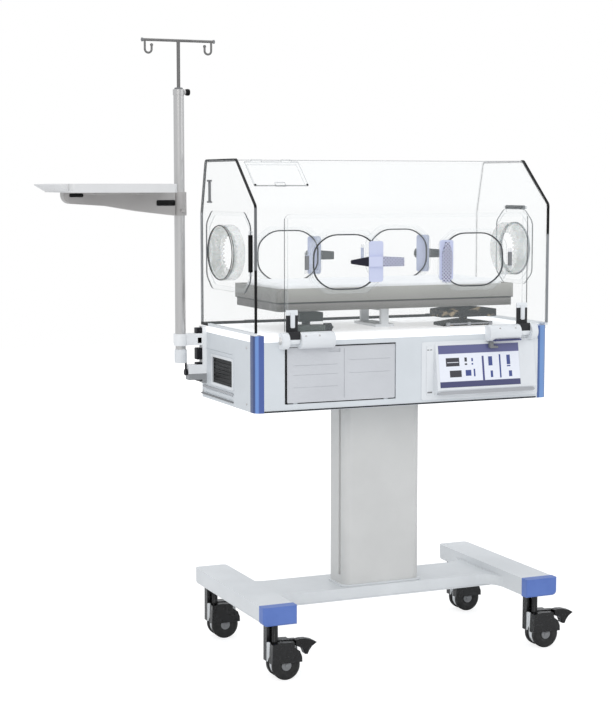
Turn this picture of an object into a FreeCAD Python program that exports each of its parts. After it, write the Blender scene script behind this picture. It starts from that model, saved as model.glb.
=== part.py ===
import FreeCAD, Part
import math
import os
import re
import Sketcher

# Infant incubator on a wheeled stand. Millimetres, +Z up, front towards -Y, left end towards -X.
# The drawing datum is on the floor under the column; the finished parts are then moved so that
# the origin is the middle of the whole object's footprint, at floor level.

SIZES = {
    # stand
    "stand_offset": -6, "leg_outer": 458, "leg_width": 98, "leg_front": 289, "leg_rear": 257,
    "leg_base": 159, "leg_height": 50, "leg_corner": 12, "cap_length": 32, "cap_round": 14,
    "beam_depth": 180, "beam_height": 30, "beam_blend": 60, "beam_rib": 6,
    "column_width": 244, "column_front": 72, "column_rear": 28, "column_corner": 20,
    "groove_front": 50, "groove_rear": 36, "groove_depth": 10,
    # casters
    "caster_x": 409, "caster_front": 246, "caster_rear": 222, "caster_trail": 24,
    "wheel_radius": 40, "wheel_width": 18, "wheel_gap": 21, "axle_radius": 5, "hub_radius": 15,
    "yoke_width": 17, "stem_radius": 9,
    # chassis
    "chassis_length": 912, "chassis_depth": 424, "chassis_base": 726, "chassis_high": 192,
    "chassis_wall": 4, "chassis_corner": 10, "deck_thick": 18, "post_left": 26,
    "post_right": 34, "post_deep": 36, "post_round": 20,
    "drawer_inset": 93, "drawer_width": 326, "drawer_lift": 24, "drawer_high": 151,
    "drawer_length": 270, "drawer_gap": 3, "drawer_wall": 3,
    "window_front": -45, "window_rear": 113, "window_lift": 53, "window_high": 73,
    "bezel_inset": 34.3, "bezel_width": 376, "bezel_lift": 12, "bezel_high": 164,
    "console_inset": 16, "console_margin": 41, "console_lift": 10, "console_high": 148,
    "nose_lift": 18, "console_reach": 24, "overlay_margin": 8, "overlay_end": 51,
    "overlay_thick": 1.2,
    # hood
    "hood_inset": 4, "seal_high": 8, "front_high": 340, "hood_high": 465, "rear_high": 311,
    "hood_top_front": 66, "hood_top_rear": 170, "hood_wall": 5, "hood_bend": 14,
    "trim_width": 7, "trim_lap": 3,
    "hinge_out": 10, "hinge_drop": 10, "hinge_x": 300, "hinge_length": 60,
    "panel_mid": 7, "panel_ends": 158, "panel_gap": 2, "panel_high": 316, "panel_lap": 12,
    "axis_out": 14, "axis_drop": 14, "arm_width": 34, "arm_thick": 6, "arm_lap": 58,
    "block_radius": 23, "block_length": 100, "block_end": 20, "block_drop": 15,
    "seal_gap": 0.5, "seat_gap": 0.3, "pin_radius": 3.5, "pin_clearance": 0.05,
    # ports
    "port_offset": 197, "port_rise": 187, "port_across": 196, "port_high": 152, "port_cut": 44,
    "port_rim": 12, "port_round": 30, "rim_thick": 3, "door_thick": 4, "rear_port_offset": 182,
    "barrel_radius": 5, "barrel_half": 20, "ear_length": 9, "latch_plate": 42,
    "latch_plate_high": 112, "latch_plate_thick": 4, "latch_thick": 7, "latch_point": 78,
    "latch_tail": 82, "latch_upper": 50, "latch_lower": 62, "latch_stub": 26, "latch_grip": 66,
    "latch_half": 14,
    "end_left_mid": -17, "end_left_across": 318, "end_right_mid": -10, "end_right_across": 186,
    "end_rise": 213, "end_high": 196, "end_bar_half": 50, "iris_left_across": 200, "iris_right_across": 168,
    "iris_high": 156,
    "iris_left_mid": 38, "sleeve_deep": 36, "sleeve_wall": 3,
    "flap_inset": 24, "flap_width": 159, "flap_drop": 12, "flap_long": 98, "flap_thick": 4,
    # bed
    "tray_end": 85, "tray_deep_half": 165, "tray_rise": 59, "step_high": 23,
    "tray_high": 63, "tray_wall": 4, "tray_inset": 4, "mattress_rise": 12, "mattress_gap": 6,
    "pivot_drop": 8, "pivot_radius": 7, "pivot_half": 60,
    "jack_left": -259, "jack_right": 238, "jack_y": -100, "jack_left_half": 44,
    "jack_right_half": 110, "jack_deep_half": 45, "gear_high": 22, 
    "jack_depth": 56, "post_radius": 12, "post_sunk": 26, "head_wall": 3.5, "head_drop": 2.2,
    "head_ridge": 7, "tilt_slope": 0.1052,
    "tilt_knob_x": -224, "gear_length": 86,
    # pole
    "pole_out": 74, "pole_y": 181, "pole_drop": 50, "pole_high": 741, "pole_radius": 15,
    "pole_wall": 2, "rod_radius": 5, "rod_sunk": 499, "rod_rise": 136, "screw_radius": 2.5,
    "crossbar_half": 105, "hook_drop": 36, "collar_high": 66, "collar_wall": 5, "shelf_drop": 266, "shelf_rim": 24,
    "shelf_near": 53, "shelf_reach": 358, "shelf_half": 143, "shelf_wall": 3, "arm_half": 18,
    "clamp_rise": 12, "clamp_high": 34, "rail_drop": 2, "rail_high": 164, "rail_y": 196,
    "rail_width": 30, "rail_thick": 12, "lever_rise": 10, "lever_high": 44,
    # air system
    "fan_x": 190, "fan_y": 95, "motor_radius": 34, "motor_high": 124, "shaft_radius": 4,
    "impeller_radius": 62, "impeller_high": 34, "impeller_blades": 12, "heater_radius": 82,
    "heater_rise": 22, "heater_tube": 5,
}

# Places that follow from the sizes above, so that joined pieces stay together.
PLACES = {
    "chassis_top": "chassis_base+chassis_high",
    "deck_top": "chassis_top+deck_thick",
    "drawer_left": "drawer_inset-chassis_length/2",
    "drawer_right": "drawer_left+drawer_width",
    "drawer_base": "chassis_base+drawer_lift",
    "drawer_top": "drawer_base+drawer_high",
    "window_base": "chassis_base+window_lift",
    "window_top": "window_base+window_high",
    "bezel_right": "chassis_length/2-bezel_inset",
    "bezel_left": "bezel_right-bezel_width",
    "bezel_base": "chassis_base+bezel_lift",
    "bezel_top": "bezel_base+bezel_high",
    "console_left": "bezel_left+console_margin",
    "console_right": "bezel_right-console_inset",
    "console_base": "bezel_base+console_lift",
    "console_nose": "console_base+nose_lift",
    "console_top": "console_base+console_high",
    "overlay_left": "console_left+overlay_margin",
    "overlay_right": "console_right-overlay_end",
    "hood_length": "chassis_length",
    "hood_front": "chassis_depth/2-hood_inset",
    "hood_rear": "chassis_depth/2-hood_inset",
    "hood_base": "deck_top+seal_high",
    "hood_knee": "hood_base+front_high",
    "hood_top": "hood_base+hood_high",
    "hood_rear_knee": "hood_base+rear_high",
    "hinge_y": "chassis_depth/2+hinge_out",
    "hinge_z": "deck_top-hinge_drop",
    "panel_width": "chassis_length-panel_ends",
    "panel_base": "hood_base+panel_gap",
    "panel_top": "panel_base+panel_high",
    "panel_axis_y": "chassis_depth/2+axis_out",
    "panel_axis_z": "deck_top-axis_drop",
    "arm_top": "panel_base+arm_lap",
    "block_base": "chassis_top-block_drop",
    "port_height": "hood_base+port_rise",
    "end_height": "hood_base+end_rise",
    "flap_left": "flap_inset-chassis_length/2",
    "flap_right": "flap_left+flap_width",
    "tray_half": "chassis_length/2-tray_end",
    "tray_base": "deck_top+tray_rise",
    "tray_step": "tray_base+step_high",
    "tray_top": "tray_base+tray_high",
    "mattress_top": "tray_top+mattress_rise",
    "pivot_z": "tray_base-pivot_drop",
    "gear_top": "deck_top+gear_high",
    "pole_x": "-chassis_length/2-pole_out",
    "pole_base": "chassis_top-pole_drop",
    "pole_top": "pole_base+pole_high",
    "rod_base": "pole_top-rod_sunk",
    "crossbar_z": "pole_top+rod_rise",
    "shelf_top": "pole_top-shelf_drop",
    "clamp_z": "pole_base+clamp_rise",
    "rail_top": "deck_top-rail_drop",
    "rail_base": "rail_top-rail_high",
    "lever_z": "rail_base+lever_rise",
    "motor_top": "chassis_base+motor_high",
    "heater_z": "motor_top+heater_rise",
}

doc = FreeCAD.newDocument("incubator")
sheet = doc.addObject("Spreadsheet::Sheet", "sizes")
NAMED = dict(SIZES)
NAMED.update({alias: "=" + formula for alias, formula in PLACES.items()})
for row, (alias, content) in enumerate(NAMED.items(), start=1):
    sheet.set("A%d" % row, alias)
    sheet.set("B%d" % row, str(content))
    sheet.setAlias("B%d" % row, alias)
doc.recompute()

PARTS = []
WORDS = re.compile(r"[a-z_]{3,}")
TURNS = {
    "x": FreeCAD.Rotation(FreeCAD.Vector(0, 1, 0), 90),
    "y": FreeCAD.Rotation(FreeCAD.Vector(1, 0, 0), -90),
    "z": FreeCAD.Rotation(),
}


def size(alias):
    return float(sheet.get(alias))


def cell(text):
    """The expression that names each size by its cell in the sheet."""
    return WORDS.sub(lambda found: "sizes." + found.group() if found.group() in NAMED
                     else found.group(), str(text))


def bind(item, prop, text):
    item.setExpression(prop, cell(text))


def keep(item, label):
    """Marks a finished sub-part: its Label names its file."""
    item.Label = label
    PARTS.append(item)
    return item


# Sketched bodies

LOCAL = {
    "XY_Plane": lambda x, y, z: (x, y, z),
    "YZ_Plane": lambda x, y, z: (y, z, x),
    "XZ_Plane": lambda x, y, z: (x, z, "-(%s)" % y),
}


def body():
    return doc.addObject("PartDesign::Body", "body")


def sketch_on(owner, plane, start, points):
    """A closed outline on one of the body's own origin planes, moved to start."""
    sketch = owner.newObject("Sketcher::SketchObject", "outline")
    flat = next(item for item in owner.Origin.OriginFeatures if item.Role == plane)
    sketch.AttachmentSupport = [(flat, "")]
    sketch.MapMode = "FlatFace"
    for axis, text in zip("xyz", LOCAL[plane](*start)):
        bind(sketch, "AttachmentOffset.Base." + axis, text)
    count = len(points)
    ring = []
    for turn in range(count):
        angle = 2 * math.pi * turn / count
        ring.append(FreeCAD.Vector(10 * math.cos(angle), 10 * math.sin(angle), 0))
    for turn in range(count):
        sketch.addGeometry(Part.LineSegment(ring[turn], ring[(turn + 1) % count]), False)
    for turn in range(count):
        sketch.addConstraint(Sketcher.Constraint("Coincident", turn, 2, (turn + 1) % count, 1))
    for turn, (across, up) in enumerate(points):
        for kind, text, here in (("DistanceX", across, ring[turn].x),
                                 ("DistanceY", up, ring[turn].y)):
            index = sketch.addConstraint(Sketcher.Constraint(kind, -1, 1, turn, 1, here))
            sketch.setExpression("Constraints[%d]" % index, cell(text))
    return sketch


def start_of(plane, low, high, adding):
    """Where a sketch lies so that its pad or pocket fills low to high along its normal."""
    if plane == "XY_Plane":
        return ("0", "0", low if adding else high)
    if plane == "YZ_Plane":
        return (low if adding else high, "0", "0")
    return ("0", high if adding else low, "0")


def add(owner, plane, low, high, points):
    sketch = sketch_on(owner, plane, start_of(plane, low, high, True), points)
    pad = owner.newObject("PartDesign::Pad", "pad")
    pad.Profile = sketch
    bind(pad, "Length", "(%s)-(%s)" % (high, low))
    doc.recompute()
    return owner


def carve(owner, plane, low, high, points):
    before = owner.Shape.Volume
    sketch = sketch_on(owner, plane, start_of(plane, low, high, False), points)
    pocket = owner.newObject("PartDesign::Pocket", "pocket")
    pocket.Profile = sketch
    bind(pocket, "Length", "(%s)-(%s)" % (high, low))
    doc.recompute()
    if owner.Shape.Volume >= before:
        raise ValueError("a pocket cut nothing: %s" % points)
    return owner


def round_edges(owner, picker, radius):
    doc.recompute()
    names = ["Edge%d" % (count + 1) for count, edge in enumerate(owner.Shape.Edges) if picker(edge)]
    if not names:
        raise ValueError("no edge to round by %s" % radius)
    base = owner.Tip
    fillet = owner.newObject("PartDesign::Fillet", "rounding")
    fillet.Base = (base, names)
    bind(fillet, "Radius", radius)
    doc.recompute()
    return owner


def along(axis, test=None):
    """Picks the straight edges that run along an axis, and pass the test on their middle."""
    direction = {"x": FreeCAD.Vector(1, 0, 0), "y": FreeCAD.Vector(0, 1, 0),
                 "z": FreeCAD.Vector(0, 0, 1)}[axis]

    def picker(edge):
        if edge.Curve.TypeId != "Part::GeomLine":
            return False
        if abs(edge.tangentAt(edge.FirstParameter).dot(direction)) < 0.999:
            return False
        return test is None or test(edge.CenterOfMass)
    return picker


def spun(axis_start, points):
    """A solid of revolution about a line along Y: points are (along Y, out from the line)."""
    owner = body()
    sketch = sketch_on(owner, "YZ_Plane", axis_start, points)
    turned = owner.newObject("PartDesign::Revolution", "turned")
    turned.Profile = sketch
    turned.ReferenceAxis = (sketch, ["H_Axis"])
    turned.Angle = 360
    doc.recompute()
    return owner


# Outlines

def rectangle(low_a, high_a, low_b, high_b):
    return [(low_a, low_b), (high_a, low_b), (high_a, high_b), (low_a, high_b)]


def octagon(mid_a, mid_b, width, height, cut):
    half_a = "((%s)/2)" % width
    half_b = "((%s)/2)" % height
    flat_a = "(%s-(%s))" % (half_a, cut)
    flat_b = "(%s-(%s)*0.8)" % (half_b, cut)
    corners = [(flat_a, "-" + half_b), (half_a, "-" + flat_b), (half_a, flat_b), (flat_a, half_b),
               ("-" + flat_a, half_b), ("-" + half_a, flat_b), ("-" + half_a, "-" + flat_b),
               ("-" + flat_a, "-" + half_b)]
    return [("(%s)+(%s)" % (mid_a, across), "(%s)+(%s)" % (mid_b, up)) for across, up in corners]


# Primitives and booleans

def placed(item, x, y, z, axis="z"):
    item.Placement = FreeCAD.Placement(FreeCAD.Vector(), TURNS[axis])
    for name, text in (("x", x), ("y", y), ("z", z)):
        bind(item, "Placement.Base." + name, text)
    return item


def block(x0, x1, y0, y1, z0, z1):
    item = doc.addObject("Part::Box", "block")
    for prop, low, high in (("Length", x0, x1), ("Width", y0, y1), ("Height", z0, z1)):
        bind(item, prop, "(%s)-(%s)" % (high, low))
    return placed(item, x0, y0, z0)


def rod(axis, x, y, z, radius, length):
    item = doc.addObject("Part::Cylinder", "rod")
    bind(item, "Radius", radius)
    bind(item, "Height", length)
    return placed(item, x, y, z, axis)


def fuse(*items):
    joined = doc.addObject("Part::MultiFuse", "joined")
    joined.Shapes = list(items)
    joined.Refine = True
    return joined


def less(base, *tools):
    for tool in tools:
        result = doc.addObject("Part::Cut", "less")
        result.Base = base
        result.Tool = tool
        result.Refine = True
        base = result
    return base


def group(*items):
    together = doc.addObject("Part::Compound", "group")
    together.Links = list(items)
    return together


def mirrored_x(item, mid="0"):
    copy = doc.addObject("Part::Mirroring", "mirrored")
    copy.Source = item
    copy.Normal = FreeCAD.Vector(1, 0, 0)
    bind(copy, "Base.x", mid)
    return copy


def made(shape):
    item = doc.addObject("Part::Feature", "made")
    item.Shape = shape
    return item


# The stand

def stand():
    frame = body()
    half, inner = "leg_outer", "(leg_outer-leg_width)"
    for side in ("-", ""):
        edges = sorted([side + half, side + inner], key=len)
        add(frame, "XY_Plane", "leg_base", "leg_base+leg_height",
            rectangle(edges[0], edges[1], "-leg_front+cap_length", "leg_rear"))
        if side == "-":
            add(frame, "XY_Plane", "leg_base", "leg_base+beam_height",
                rectangle("-leg_outer+leg_width/2", "leg_outer-leg_width/2",
                          "-beam_depth/2", "beam_depth/2"))
            add(frame, "XY_Plane", "leg_base-beam_rib", "leg_base",
                rectangle("-leg_outer+leg_width+6", "leg_outer-leg_width-6",
                          "-beam_depth/2+3", "beam_depth/2-3"))
    reach = size("leg_outer") - size("leg_width")
    round_edges(frame, along("z", lambda mid: abs(abs(mid.x) - reach) < 1
                             and abs(abs(mid.y) - size("beam_depth") / 2) < 1), "beam_blend")
    round_edges(frame, along("z", lambda mid: mid.y > size("leg_rear") - 1), "leg_corner")
    round_edges(frame, along("y", lambda mid: abs(mid.x) > size("leg_outer") - 1
                             and mid.z < size("leg_base") + 1), "leg_corner")
    sockets = []
    for x, y in caster_places():
        sockets.append(rod("z", x, y, "leg_base-1", "stem_radius*0.6+seat_gap", "leg_height-8"))
    keep(less(frame, *sockets), "base_frame")

    cap = body()
    add(cap, "XY_Plane", "leg_base-2", "leg_base+leg_height+1",
        rectangle("-leg_outer-1", "-leg_outer+leg_width+1", "-leg_front", "-leg_front+cap_length"))
    round_edges(cap, along("y", lambda mid: mid.z < size("leg_base")
                           and mid.x < -size("leg_outer")), "cap_round")
    round_edges(cap, along("z", lambda mid: mid.y < 1 - size("leg_front")), "cap_round/2")
    keep(group(cap, mirrored_x(cap)), "front_leg_caps")

    column = body()
    add(column, "XY_Plane", "leg_base+beam_height", "chassis_base",
        rectangle("-column_width/2", "column_width/2", "-column_front", "column_rear"))
    for low, high in (("-column_width/2", "-column_width/2+groove_depth"),
                      ("column_width/2-groove_depth", "column_width/2")):
        carve(column, "XY_Plane", "leg_base+beam_height+30", "chassis_base",
              rectangle(low, high, "-groove_front", "-groove_rear"))
    round_edges(column, along("z", lambda mid: mid.y < 1 - size("column_front")), "column_corner")
    round_edges(column, along("z", lambda mid: mid.y > size("column_rear") - 1), "column_corner/2")
    keep(column, "column")


def caster_places():
    return [(side + "caster_x", place) for place in ("-caster_front", "caster_rear")
            for side in ("-", "")]


# Side profiles of a caster about its axle, along and up, in parts of the wheel's radius.
MIDDLE_PLATE = [(-0.9, 0), (0.9, 0), (1, 1), (0.9, 1.65), (-0.35, 1.7), (-0.95, 1.55)]
HOOD_SIDE = [(-1.11, 0.2), (1.11, 0.2), (1.1, 0.55), (0.95, 0.95), (0.55, 1.25), (0.55, 1.6)]
HOOD_TOP = [(-0.35, 1.65), (-1.05, 1.55)]
HOOD_FIN = [(-0.5, 1.65), (-0.8, 2.8), (-1.1, 2.8)]
BRAKE_SIDE = [(0.65, 1.35), (0.65, 1.75), (1, 1.79), (1.4, 1.77), (1.85, 1.65), (2.22, 1.44),
              (1.87, 1.22), (1.65, 0.95), (1.52, 0.67), (1.32, 0.7), (1.15, 1.12)]


def side_profile(axle_x, points):
    return [("(%s)+wheel_radius*(%s)" % (axle_x, across), "wheel_radius*(1+(%s))" % up)
            for across, up in points]


def casters():
    names = ("fl", "fr", "rl", "rr")
    for name, (x, y) in zip(names, caster_places()):
        axle_x = "(%s)+caster_trail" % x
        gap, wide = "(wheel_gap/2)", "(wheel_gap/2+wheel_width)"
        lip = "(wheel_radius-6)"
        disc = [(gap, "axle_radius"), (gap, lip), ("%s+4" % gap, "wheel_radius"),
                ("%s-4" % wide, "wheel_radius"), (wide, lip), (wide, "hub_radius+8"),
                ("%s-3" % wide, "hub_radius"), ("%s-3" % wide, "axle_radius")]
        centre = (axle_x, y, "wheel_radius")
        far = spun(centre, disc)
        near = spun(centre, [("-(%s)" % across, out) for across, out in disc])
        axle = rod("y", axle_x, "(%s)-%s" % (y, wide), "wheel_radius", "axle_radius",
                   "2*%s" % wide)
        keep(fuse(near, far, axle), "caster_%s_wheels" % name)

        low, high = "(%s)-yoke_width/2" % y, "(%s)+yoke_width/2" % y
        outer, clear = "(wheel_gap/2+wheel_width+3.5)", "(wheel_gap/2+wheel_width+1)"
        middle = side_profile(axle_x, MIDDLE_PLATE)
        plate = add(body(), "XZ_Plane", low, high, middle)
        near_hood = add(body(), "XZ_Plane", "(%s)-%s" % (y, outer), low,
                        side_profile(axle_x, HOOD_SIDE + HOOD_TOP))
        far_hood = add(body(), "XZ_Plane", high, "(%s)+%s" % (y, outer),
                       side_profile(axle_x, HOOD_SIDE + HOOD_FIN))
        spaces = []
        for start, end in (("(%s)-%s" % (y, clear), low), (high, "(%s)+%s" % (y, clear))):
            spaces.append(rod("y", axle_x, start, "wheel_radius", "wheel_radius+1.5",
                              "(%s)-(%s)" % (end, start)))
        round_plate = rod("y", axle_x, low, "wheel_radius", "wheel_radius-4", "yoke_width")
        stem = rod("z", x, y, "wheel_radius+60", "stem_radius", "leg_base-seat_gap-wheel_radius-60")
        spigot = rod("z", x, y, "leg_base-seat_gap-1", "stem_radius*0.6", "leg_height-12")
        bore = rod("y", axle_x, "(%s)-1" % low, "wheel_radius", "axle_radius+pin_clearance",
                   "yoke_width+2")
        hoods = less(fuse(near_hood, far_hood), *spaces)
        yoke = fuse(hoods, plate, round_plate, stem, spigot)
        keep(less(yoke, bore), "caster_%s_yoke" % name)

    for name, (x, y) in zip(names[:2], caster_places()[:2]):
        pedal = add(body(), "XZ_Plane", "(%s)-wheel_gap/2-wheel_width-3.5" % y,
                    "(%s)-yoke_width/2-seat_gap" % y,
                    side_profile("(%s)+caster_trail" % x, BRAKE_SIDE))
        keep(pedal, "caster_%s_brake" % name)


# The chassis

def chassis():
    shell = body()
    end, side = "(chassis_length/2)", "(chassis_depth/2)"
    add(shell, "XY_Plane", "chassis_base", "chassis_top",
        rectangle("-" + end, end, "-" + side, side))
    for left, right in (("-" + end, "-%s+post_left" % end), ("%s-post_right" % end, end)):
        carve(shell, "XY_Plane", "chassis_base", "chassis_top",
              rectangle(left, right, "-" + side, "-%s+post_deep" % side))
    round_edges(shell, along("z", lambda mid: mid.y > size("chassis_depth") / 2 - 1),
                "chassis_corner")
    inner, deep = "(%s-chassis_wall)" % end, "(%s-chassis_wall)" % side
    shy_left = "(-%s+post_left+chassis_wall)" % end
    shy_right = "(%s-post_right-chassis_wall)" % end
    back = "-%s+post_deep+chassis_wall" % side
    carve(shell, "XY_Plane", "chassis_base+chassis_wall", "chassis_top",
          [(shy_left, "-" + deep), (shy_right, "-" + deep), (shy_right, back), (inner, back),
           (inner, deep), ("-" + inner, deep), ("-" + inner, back), (shy_left, back)])
    carve(shell, "XZ_Plane", "-%s-1" % side, "-%s+chassis_wall+1" % side,
          rectangle("drawer_left-drawer_gap", "drawer_right+drawer_gap",
                    "drawer_base-drawer_gap", "drawer_top+drawer_gap"))
    carve(shell, "YZ_Plane", "-%s" % end, "-%s+chassis_wall+1" % end,
          rectangle("window_front", "window_rear", "window_base", "window_top"))
    for base, high in (("chassis_base+16", "3"), ("chassis_base+28", "3"), ("chassis_top-48", "2")):
        carve(shell, "YZ_Plane", "-%s" % end, "-%s+1.5" % end,
              rectangle("window_front", "window_rear+60", base, "%s+%s" % (base, high)))
    fixed = [shell]
    for left in ("drawer_left-drawer_gap-5", "drawer_right+drawer_gap"):
        fixed.append(block(left, "%s+5" % left, "-%s" % deep, "-%s+drawer_length" % deep,
                           "chassis_base+chassis_wall", "drawer_base+20"))
    for x in ("drawer_left+20", "drawer_right-32"):
        fixed.append(block(x, "%s+12" % x, "-%s" % deep, "-%s+drawer_length" % deep,
                           "chassis_base+chassis_wall", "drawer_base-seat_gap"))
    keep(fuse(*fixed), "chassis_shell")

    posts = []
    for left, right in (("-" + end, "-%s+post_left" % end), ("%s-post_right" % end, end)):
        post = body()
        add(post, "XY_Plane", "chassis_base", "deck_top",
            rectangle(left, right, "-" + side, "-%s+post_deep" % side))
        round_edges(post, along("z", lambda mid: abs(mid.x) > size("chassis_length") / 2 - 1
                                and mid.y < 1 - size("chassis_depth") / 2), "post_round")
        posts.append(post)
    keep(group(*posts), "corner_posts")

    deck = body()
    add(deck, "XY_Plane", "chassis_top", "deck_top",
        [("-%s+post_left" % end, "-" + side), ("%s-post_right" % end, "-" + side),
         ("%s-post_right" % end, "-%s+post_deep" % side), (end, "-%s+post_deep" % side),
         (end, side), ("-" + end, side), ("-" + end, "-%s+post_deep" % side),
         ("-%s+post_left" % end, "-%s+post_deep" % side)])
    round_edges(deck, along("z", lambda mid: mid.y > size("chassis_depth") / 2 - 1),
                "chassis_corner")
    for slot in range(9):
        left = "fan_x-72+%d*16" % slot
        carve(deck, "XY_Plane", "chassis_top", "deck_top",
              rectangle(left, "%s+6" % left, "fan_y-60", "fan_y+60"))
    for x in ("-330", "-200", "-70", "360"):
        carve(deck, "XY_Plane", "chassis_top", "deck_top",
              rectangle(x, "%s+60" % x, "chassis_depth/2-34", "chassis_depth/2-24"))
    wells = []
    for x in ("jack_left", "jack_right"):
        wells.append(rod("z", x, "jack_y", "chassis_top-1", "post_radius+5", "40"))
    keep(less(deck, *wells), "deck")

    grille = body()
    add(grille, "YZ_Plane", "-%s+1" % end, "-%s+chassis_wall+1" % end,
        rectangle("window_front+seat_gap", "window_rear-seat_gap", "window_base+seat_gap",
                  "window_top-seat_gap"))
    for count in range(6):
        low = "window_base+8+%d*(window_top-window_base-10)/6" % count
        carve(grille, "YZ_Plane", "-%s+1" % end, "-%s+2.5" % end,
              rectangle("window_front+8", "window_rear-8", low, "%s+5" % low))
    keep(grille, "intake_grille")


def drawer():
    front = "(-chassis_depth/2)"
    tub = body()
    add(tub, "XZ_Plane", "%s+1" % front, "%s+5" % front,
        rectangle("drawer_left", "drawer_right", "drawer_base", "drawer_top"))
    round_edges(tub, along("y"), "4")
    inset = "12"
    add(tub, "XZ_Plane", "%s+5" % front, "%s+drawer_length" % front,
        rectangle("drawer_left+%s" % inset, "drawer_right-%s" % inset, "drawer_base",
                  "drawer_top-22"))
    carve(tub, "XY_Plane", "drawer_base+drawer_wall", "drawer_top-22",
          rectangle("drawer_left+%s+drawer_wall" % inset, "drawer_right-%s-drawer_wall" % inset,
                    "%s+8" % front, "%s+drawer_length-drawer_wall" % front))
    middle = "((drawer_left+drawer_right)/2)"
    carve(tub, "XZ_Plane", "%s+1" % front, "%s+2.4" % front,
          rectangle("%s+7" % middle, "%s+9" % middle, "drawer_base+8", "drawer_top-8"))
    for low, high, rows in (("drawer_left+20", "%s-12" % middle, (50, 76, 110)),
                            ("%s+24" % middle, "drawer_right-14", (40, 76))):
        for drop in rows:
            carve(tub, "XZ_Plane", "%s+1" % front, "%s+2" % front,
                  rectangle(low, high, "drawer_top-%d" % drop, "drawer_top-%d+1.6" % drop))
    carve(tub, "XZ_Plane", "%s+1" % front, "%s+4" % front,
          rectangle("%s-40" % middle, "%s-4" % middle, "drawer_top-16", "drawer_top-7"))
    keep(tub, "drawer")


def console():
    front = "(-chassis_depth/2)"
    nose = "(%s-console_reach)" % front
    face = body()
    add(face, "XZ_Plane", "%s-2" % front, front,
        rectangle("bezel_left", "bezel_right", "bezel_base", "bezel_top"))
    round_edges(face, along("y"), "6")
    add(face, "YZ_Plane", "console_left", "console_right",
        [("%s-1" % front, "console_base"), ("%s-1" % front, "console_top"),
         ("%s-3" % front, "console_top"), (nose, "console_nose"),
         ("%s+3" % nose, "console_nose-8"), ("%s-3" % front, "console_base")])
    # The tilted pocket that the overlay lies in is cut along the console's own slope.
    run = size("console_top") - size("console_nose")
    lean = math.atan2(size("console_reach") - 3, run)
    slope = math.hypot(size("console_reach") - 3, run)
    start = FreeCAD.Vector(size("overlay_left"), -size("chassis_depth") / 2
                           - size("console_reach"), size("console_nose"))
    turn = FreeCAD.Rotation(FreeCAD.Vector(1, 0, 0), -math.degrees(lean))
    wide = size("overlay_right") - size("overlay_left")
    sunk = Part.makeBox(wide, size("overlay_thick"), slope - 12, FreeCAD.Vector(0, 0, 6))
    sunk.Placement = FreeCAD.Placement(start, turn)
    keep(less(face, made(sunk)), "control_bezel")

    gap = size("seat_gap")
    sheet_shape = Part.makeBox(wide - 2 * gap, size("overlay_thick") - gap / 2, slope - 12 - 2 * gap,
                               FreeCAD.Vector(gap, gap / 2, 6 + gap))
    sheet_shape.Placement = FreeCAD.Placement(start, turn)
    keep(made(sheet_shape), "control_overlay")


def air_system():
    floor = "chassis_base+chassis_wall"
    motor = rod("z", "fan_x", "fan_y", floor, "motor_radius", "motor_top-(%s)" % floor)
    shaft = rod("z", "fan_x", "fan_y", "motor_top-1", "shaft_radius", "impeller_high+8")
    foot = rod("z", "fan_x", "fan_y", floor, "motor_radius+12", "5")
    keep(fuse(motor, shaft, foot), "fan_motor")

    base = size("motor_top") + 3
    radius, high = size("impeller_radius"), size("impeller_high")
    centre = FreeCAD.Vector(size("fan_x"), size("fan_y"), base)
    wheel = Part.makeCylinder(radius, 3, centre)
    hub = Part.makeCylinder(size("shaft_radius") + 6, high, centre)
    blades = []
    count = int(size("impeller_blades"))
    for turn in range(count):
        blade = Part.makeBox(radius * 0.42, 2, high - 2, FreeCAD.Vector(radius * 0.56, 0, 1))
        blade.rotate(FreeCAD.Vector(radius * 0.56, 0, 0), FreeCAD.Vector(0, 0, 1), 28)
        blade.rotate(FreeCAD.Vector(), FreeCAD.Vector(0, 0, 1), 360.0 * turn / count)
        blade.translate(centre)
        blades.append(blade)
    fan = wheel.fuse([hub] + blades).common(Part.makeCylinder(radius, high, centre))
    bore = Part.makeCylinder(size("shaft_radius") + size("pin_clearance"), high + 4,
                             centre - FreeCAD.Vector(0, 0, 1))
    keep(made(fan.cut(bore).removeSplitter()), "fan_impeller")

    ring = Part.makeTorus(size("heater_radius"), size("heater_tube"),
                          FreeCAD.Vector(size("fan_x"), size("fan_y"), size("heater_z")),
                          FreeCAD.Vector(0, 0, 1))
    legs = []
    for angle in (30, 150, 270):
        x = size("fan_x") + size("heater_radius") * math.cos(math.radians(angle))
        y = size("fan_y") + size("heater_radius") * math.sin(math.radians(angle))
        low = size("chassis_base") + size("chassis_wall")
        legs.append(Part.makeCylinder(3, size("heater_z") - low, FreeCAD.Vector(x, y, low)))
    keep(made(ring.fuse(legs)), "heater_element")


# The hood

def offset_corner(before, here, after, distance):
    """The corner of a bent sheet's other face, to the right of the way the outline runs."""
    first, second = (here - before).normalize(), (after - here).normalize()
    bend = math.tan(first.getAngle(second) / 2)
    side = FreeCAD.Vector(0, first.z, -first.y)
    turn_right = first.cross(second).x < 0
    return here + side * distance + first * (-distance * bend if turn_right else distance * bend)


def rounded_edges(corners, radius):
    """Straight runs joined by arcs of one radius through the inner corners."""
    edges, last = [], corners[0]
    for before, here, after in zip(corners, corners[1:], corners[2:]):
        first, second = (before - here).normalize(), (after - here).normalize()
        half = first.getAngle(second) / 2
        reach = radius / math.tan(half)
        middle = here + (first + second).normalize() * (radius / math.sin(half) - radius)
        start, end = here + first * reach, here + second * reach
        edges.append(Part.LineSegment(last, start).toShape())
        edges.append(Part.Arc(start, middle, end).toShape())
        last = end
    edges.append(Part.LineSegment(last, corners[-1]).toShape())
    return edges


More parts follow.
